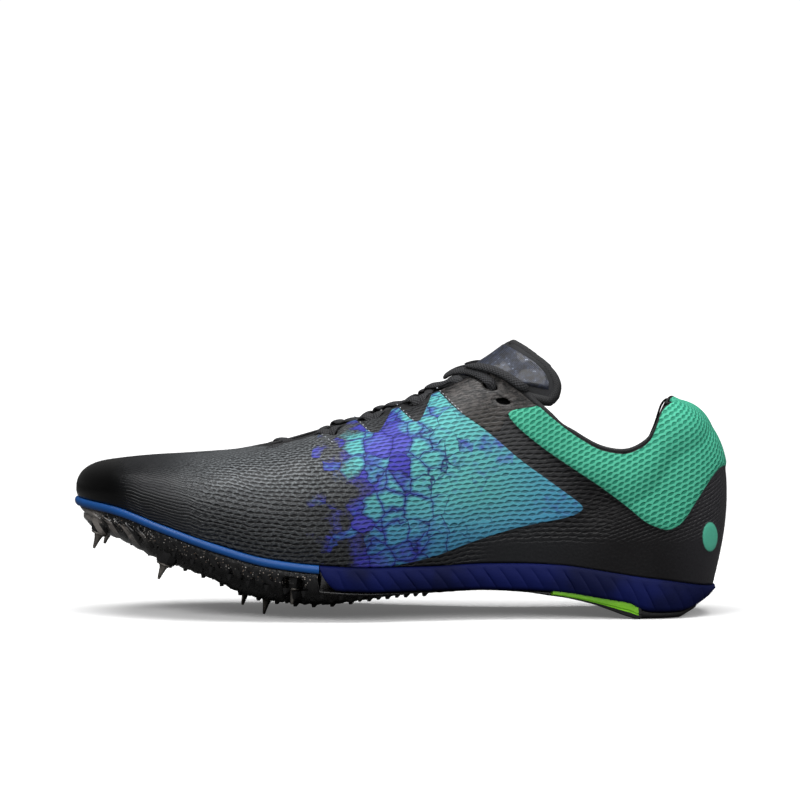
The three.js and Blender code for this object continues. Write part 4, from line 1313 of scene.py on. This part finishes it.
# Laces: flat braid that crosses over the tongue and runs down into the holes
LACE_OVER = 1.6     # how far the upper run of a crossing stands over the lower one
FRONT_FLAT = 1.4    # how much flatter the crossings are at the front
FRONT_SINK = 2.4
lace_black = woven_finish("lace_cord", "#26272b", "#08080a", 1.5, 0.8, 0.18, 0.75)


def off_dome(share, side, turn, lift):
    """A point straight off the upper's dome by a distance."""
    nudge = 0.001
    at = rib(share, side)(turn)
    back = rib(share + nudge, side)(turn) - at
    up = rib(share, side)(turn + nudge) - at
    return at + back.cross(up).normalized() * -side * lift


def lace_run(from_row, from_side, to_row, lift):
    """One run of the lace over the tongue, from a hole to the hole across from it."""
    points = []
    for i in range(LACE_STEPS * 2 + 1):
        t = i / LACE_STEPS - 1
        row = lerp(from_row, to_row, (t + 1) / 2)
        side = -from_side if t > 0 else from_side
        turn = 1 - (1 - LACE_TURN) * abs(t)
        high = lerp(-1.8, 0.5, smooth(abs(t), 0.35, 0.75)) - 2.6 * smooth(abs(t), 0.86, 1)
        points.append(rib(station_of(row), side)(turn, high + lift * (1 - t * t)))
    path = spline(points, 4)
    return tube(path, [outward(p) for p in path], 2.4, 0.85, 16)


# The lace's last run on each side, from the ridge down into the upper hole
TOP_RUN = table(
    "station turn high",
    (0.622, 0.995, 0.2), (0.631, 0.95, 1.3), (0.642, 0.87, 1.7), (0.654, 0.76, 1.7),
    (0.6655, 0.645, 1.2), (0.668, 0.615, -1.8))


def laces():
    runs = [lace_run(LACE_ROWS[0], -1, LACE_ROWS[0], -FRONT_SINK)]
    for low, high in zip(LACE_ROWS, LACE_ROWS[1:]):
        flat = FRONT_FLAT if low == LACE_ROWS[0] else 0
        runs.append(lace_run(low, -1, high, -flat))
        runs.append(lace_run(low, 1, high, LACE_OVER - flat))
    for side in (-1, 1):
        route = [rib(row["station"], side)(row["turn"], row["high"]) for row in TOP_RUN]
        path = spline(route, 5)
        runs.append(tube(path, [outward(p) for p in path], 2.2, 1.0, 16))
    joined = runs[0]
    for run in runs[1:]:
        mesh = bpy.data.meshes.new("run")
        run.to_mesh(mesh)
        run.free()
        joined.from_mesh(mesh)
        bpy.data.meshes.remove(mesh)
    piece("lace_rows", joined, lace_black, "lace_crossings", 60)


laces()

for side, word in ((-1, "lateral"), (1, "medial")):
    start = LACE_ROWS[-1] + (2 * LACE_RADIUS + FIT_GAP) / SEAM_LENGTH
    route = [off_dome(station_of(lerp(start, TOP_HOLE, i / LACE_STEPS)), side,
                      lerp(LACE_END_TURN, TOP_HOLE_TURN, i / LACE_STEPS), LACE_RADIUS + LACE_LIFT)
             for i in range(LACE_STEPS + 1)]
    route.append(off_dome(station_of(TOP_HOLE + 0.006), side, TOP_HOLE_TURN - 0.02, -1.2))
    path = spline(route, 4)
    begin = [smooth(i / len(path), -0.08, 0.2) for i in range(len(path))]
    bm = tube(path, [outward(p) for p in path], [1.9 * b for b in begin], [1.1 * b for b in begin], 16)
    cord = piece("lace_tail_" + word, bm, lace_black, "lace_end_" + word, 60)
    size = sum((b - a).length for a, b in zip(path, path[1:])) * MM


# The studio: white floor and backdrop, one broad light above and three round the shoe
def stage():
    bm = bmesh.new()
    bmesh.ops.create_grid(bm, x_segments=4, y_segments=4, size=12)
    mesh = bpy.data.meshes.new("floor")
    bm.to_mesh(mesh)
    bm.free()
    floor = bpy.data.objects.new("floor", mesh)
    f = Finish("floor_paper")
    eye_ray = f.add("LightPath")
    place = f.place(1.0)
    away = f.add("VectorMath", {0: place}, out=1, operation="LENGTH")
    f.put(f.shader.inputs["Emission Color"], "#ffffff")
    f.put(f.shader.inputs["Emission Strength"],
          f.math("MULTIPLY", eye_ray, f.band(away, 0.45, 1.5, 0.12, 1.0)))
    f.done(f.mix(eye_ray, "#4a4a4a", "#f4f4f4"), f.band(f.noise(place, 0.5), 0, 1, 0.85, 0.95))
    mesh.materials.append(f.material)
    bpy.context.scene.collection.objects.link(floor)


def lamp(name, place, size, power, aim=(-0.11, 0, 0.04)):
    data = bpy.data.lights.new(name, "AREA")
    data.shape = "RECTANGLE"
    data.size, data.size_y = size
    data.energy = power
    made = bpy.data.objects.new(name, data)
    made.location = place
    made.rotation_euler = (Vector(aim) - Vector(place)).to_track_quat("-Z", "Y").to_euler()
    bpy.context.scene.collection.objects.link(made)


def studio_air(strength):
    """A world that is white to the eye and dimmer as a light."""
    world = bpy.data.worlds.new("studio")
    world.use_nodes = True
    nodes, links = world.node_tree.nodes, world.node_tree.links
    air = nodes["Background"]
    air.inputs[0].default_value = (1, 1, 1, 1)
    ray = nodes.new("ShaderNodeLightPath")
    level = nodes.new("ShaderNodeMapRange")
    level.inputs["To Min"].default_value = strength
    level.inputs["To Max"].default_value = 1.05
    links.new(ray.outputs["Is Camera Ray"], level.inputs["Value"])
    links.new(level.outputs[0], air.inputs[1])
    bpy.context.scene.world = world


stage()
lamp("top", (-0.12, -0.1, 1.25), (1.5, 0.8), 23)
lamp("front", (-0.85, -1.0, 0.95), (0.9, 0.5), 9)
lamp("side", (0.25, -1.6, 0.8), (1.2, 0.5), 9)
lamp("heel", (1.1, -0.7, 0.8), (0.6, 0.6), 5)
studio_air(0.1)
bpy.context.scene.view_settings.view_transform = "Standard"
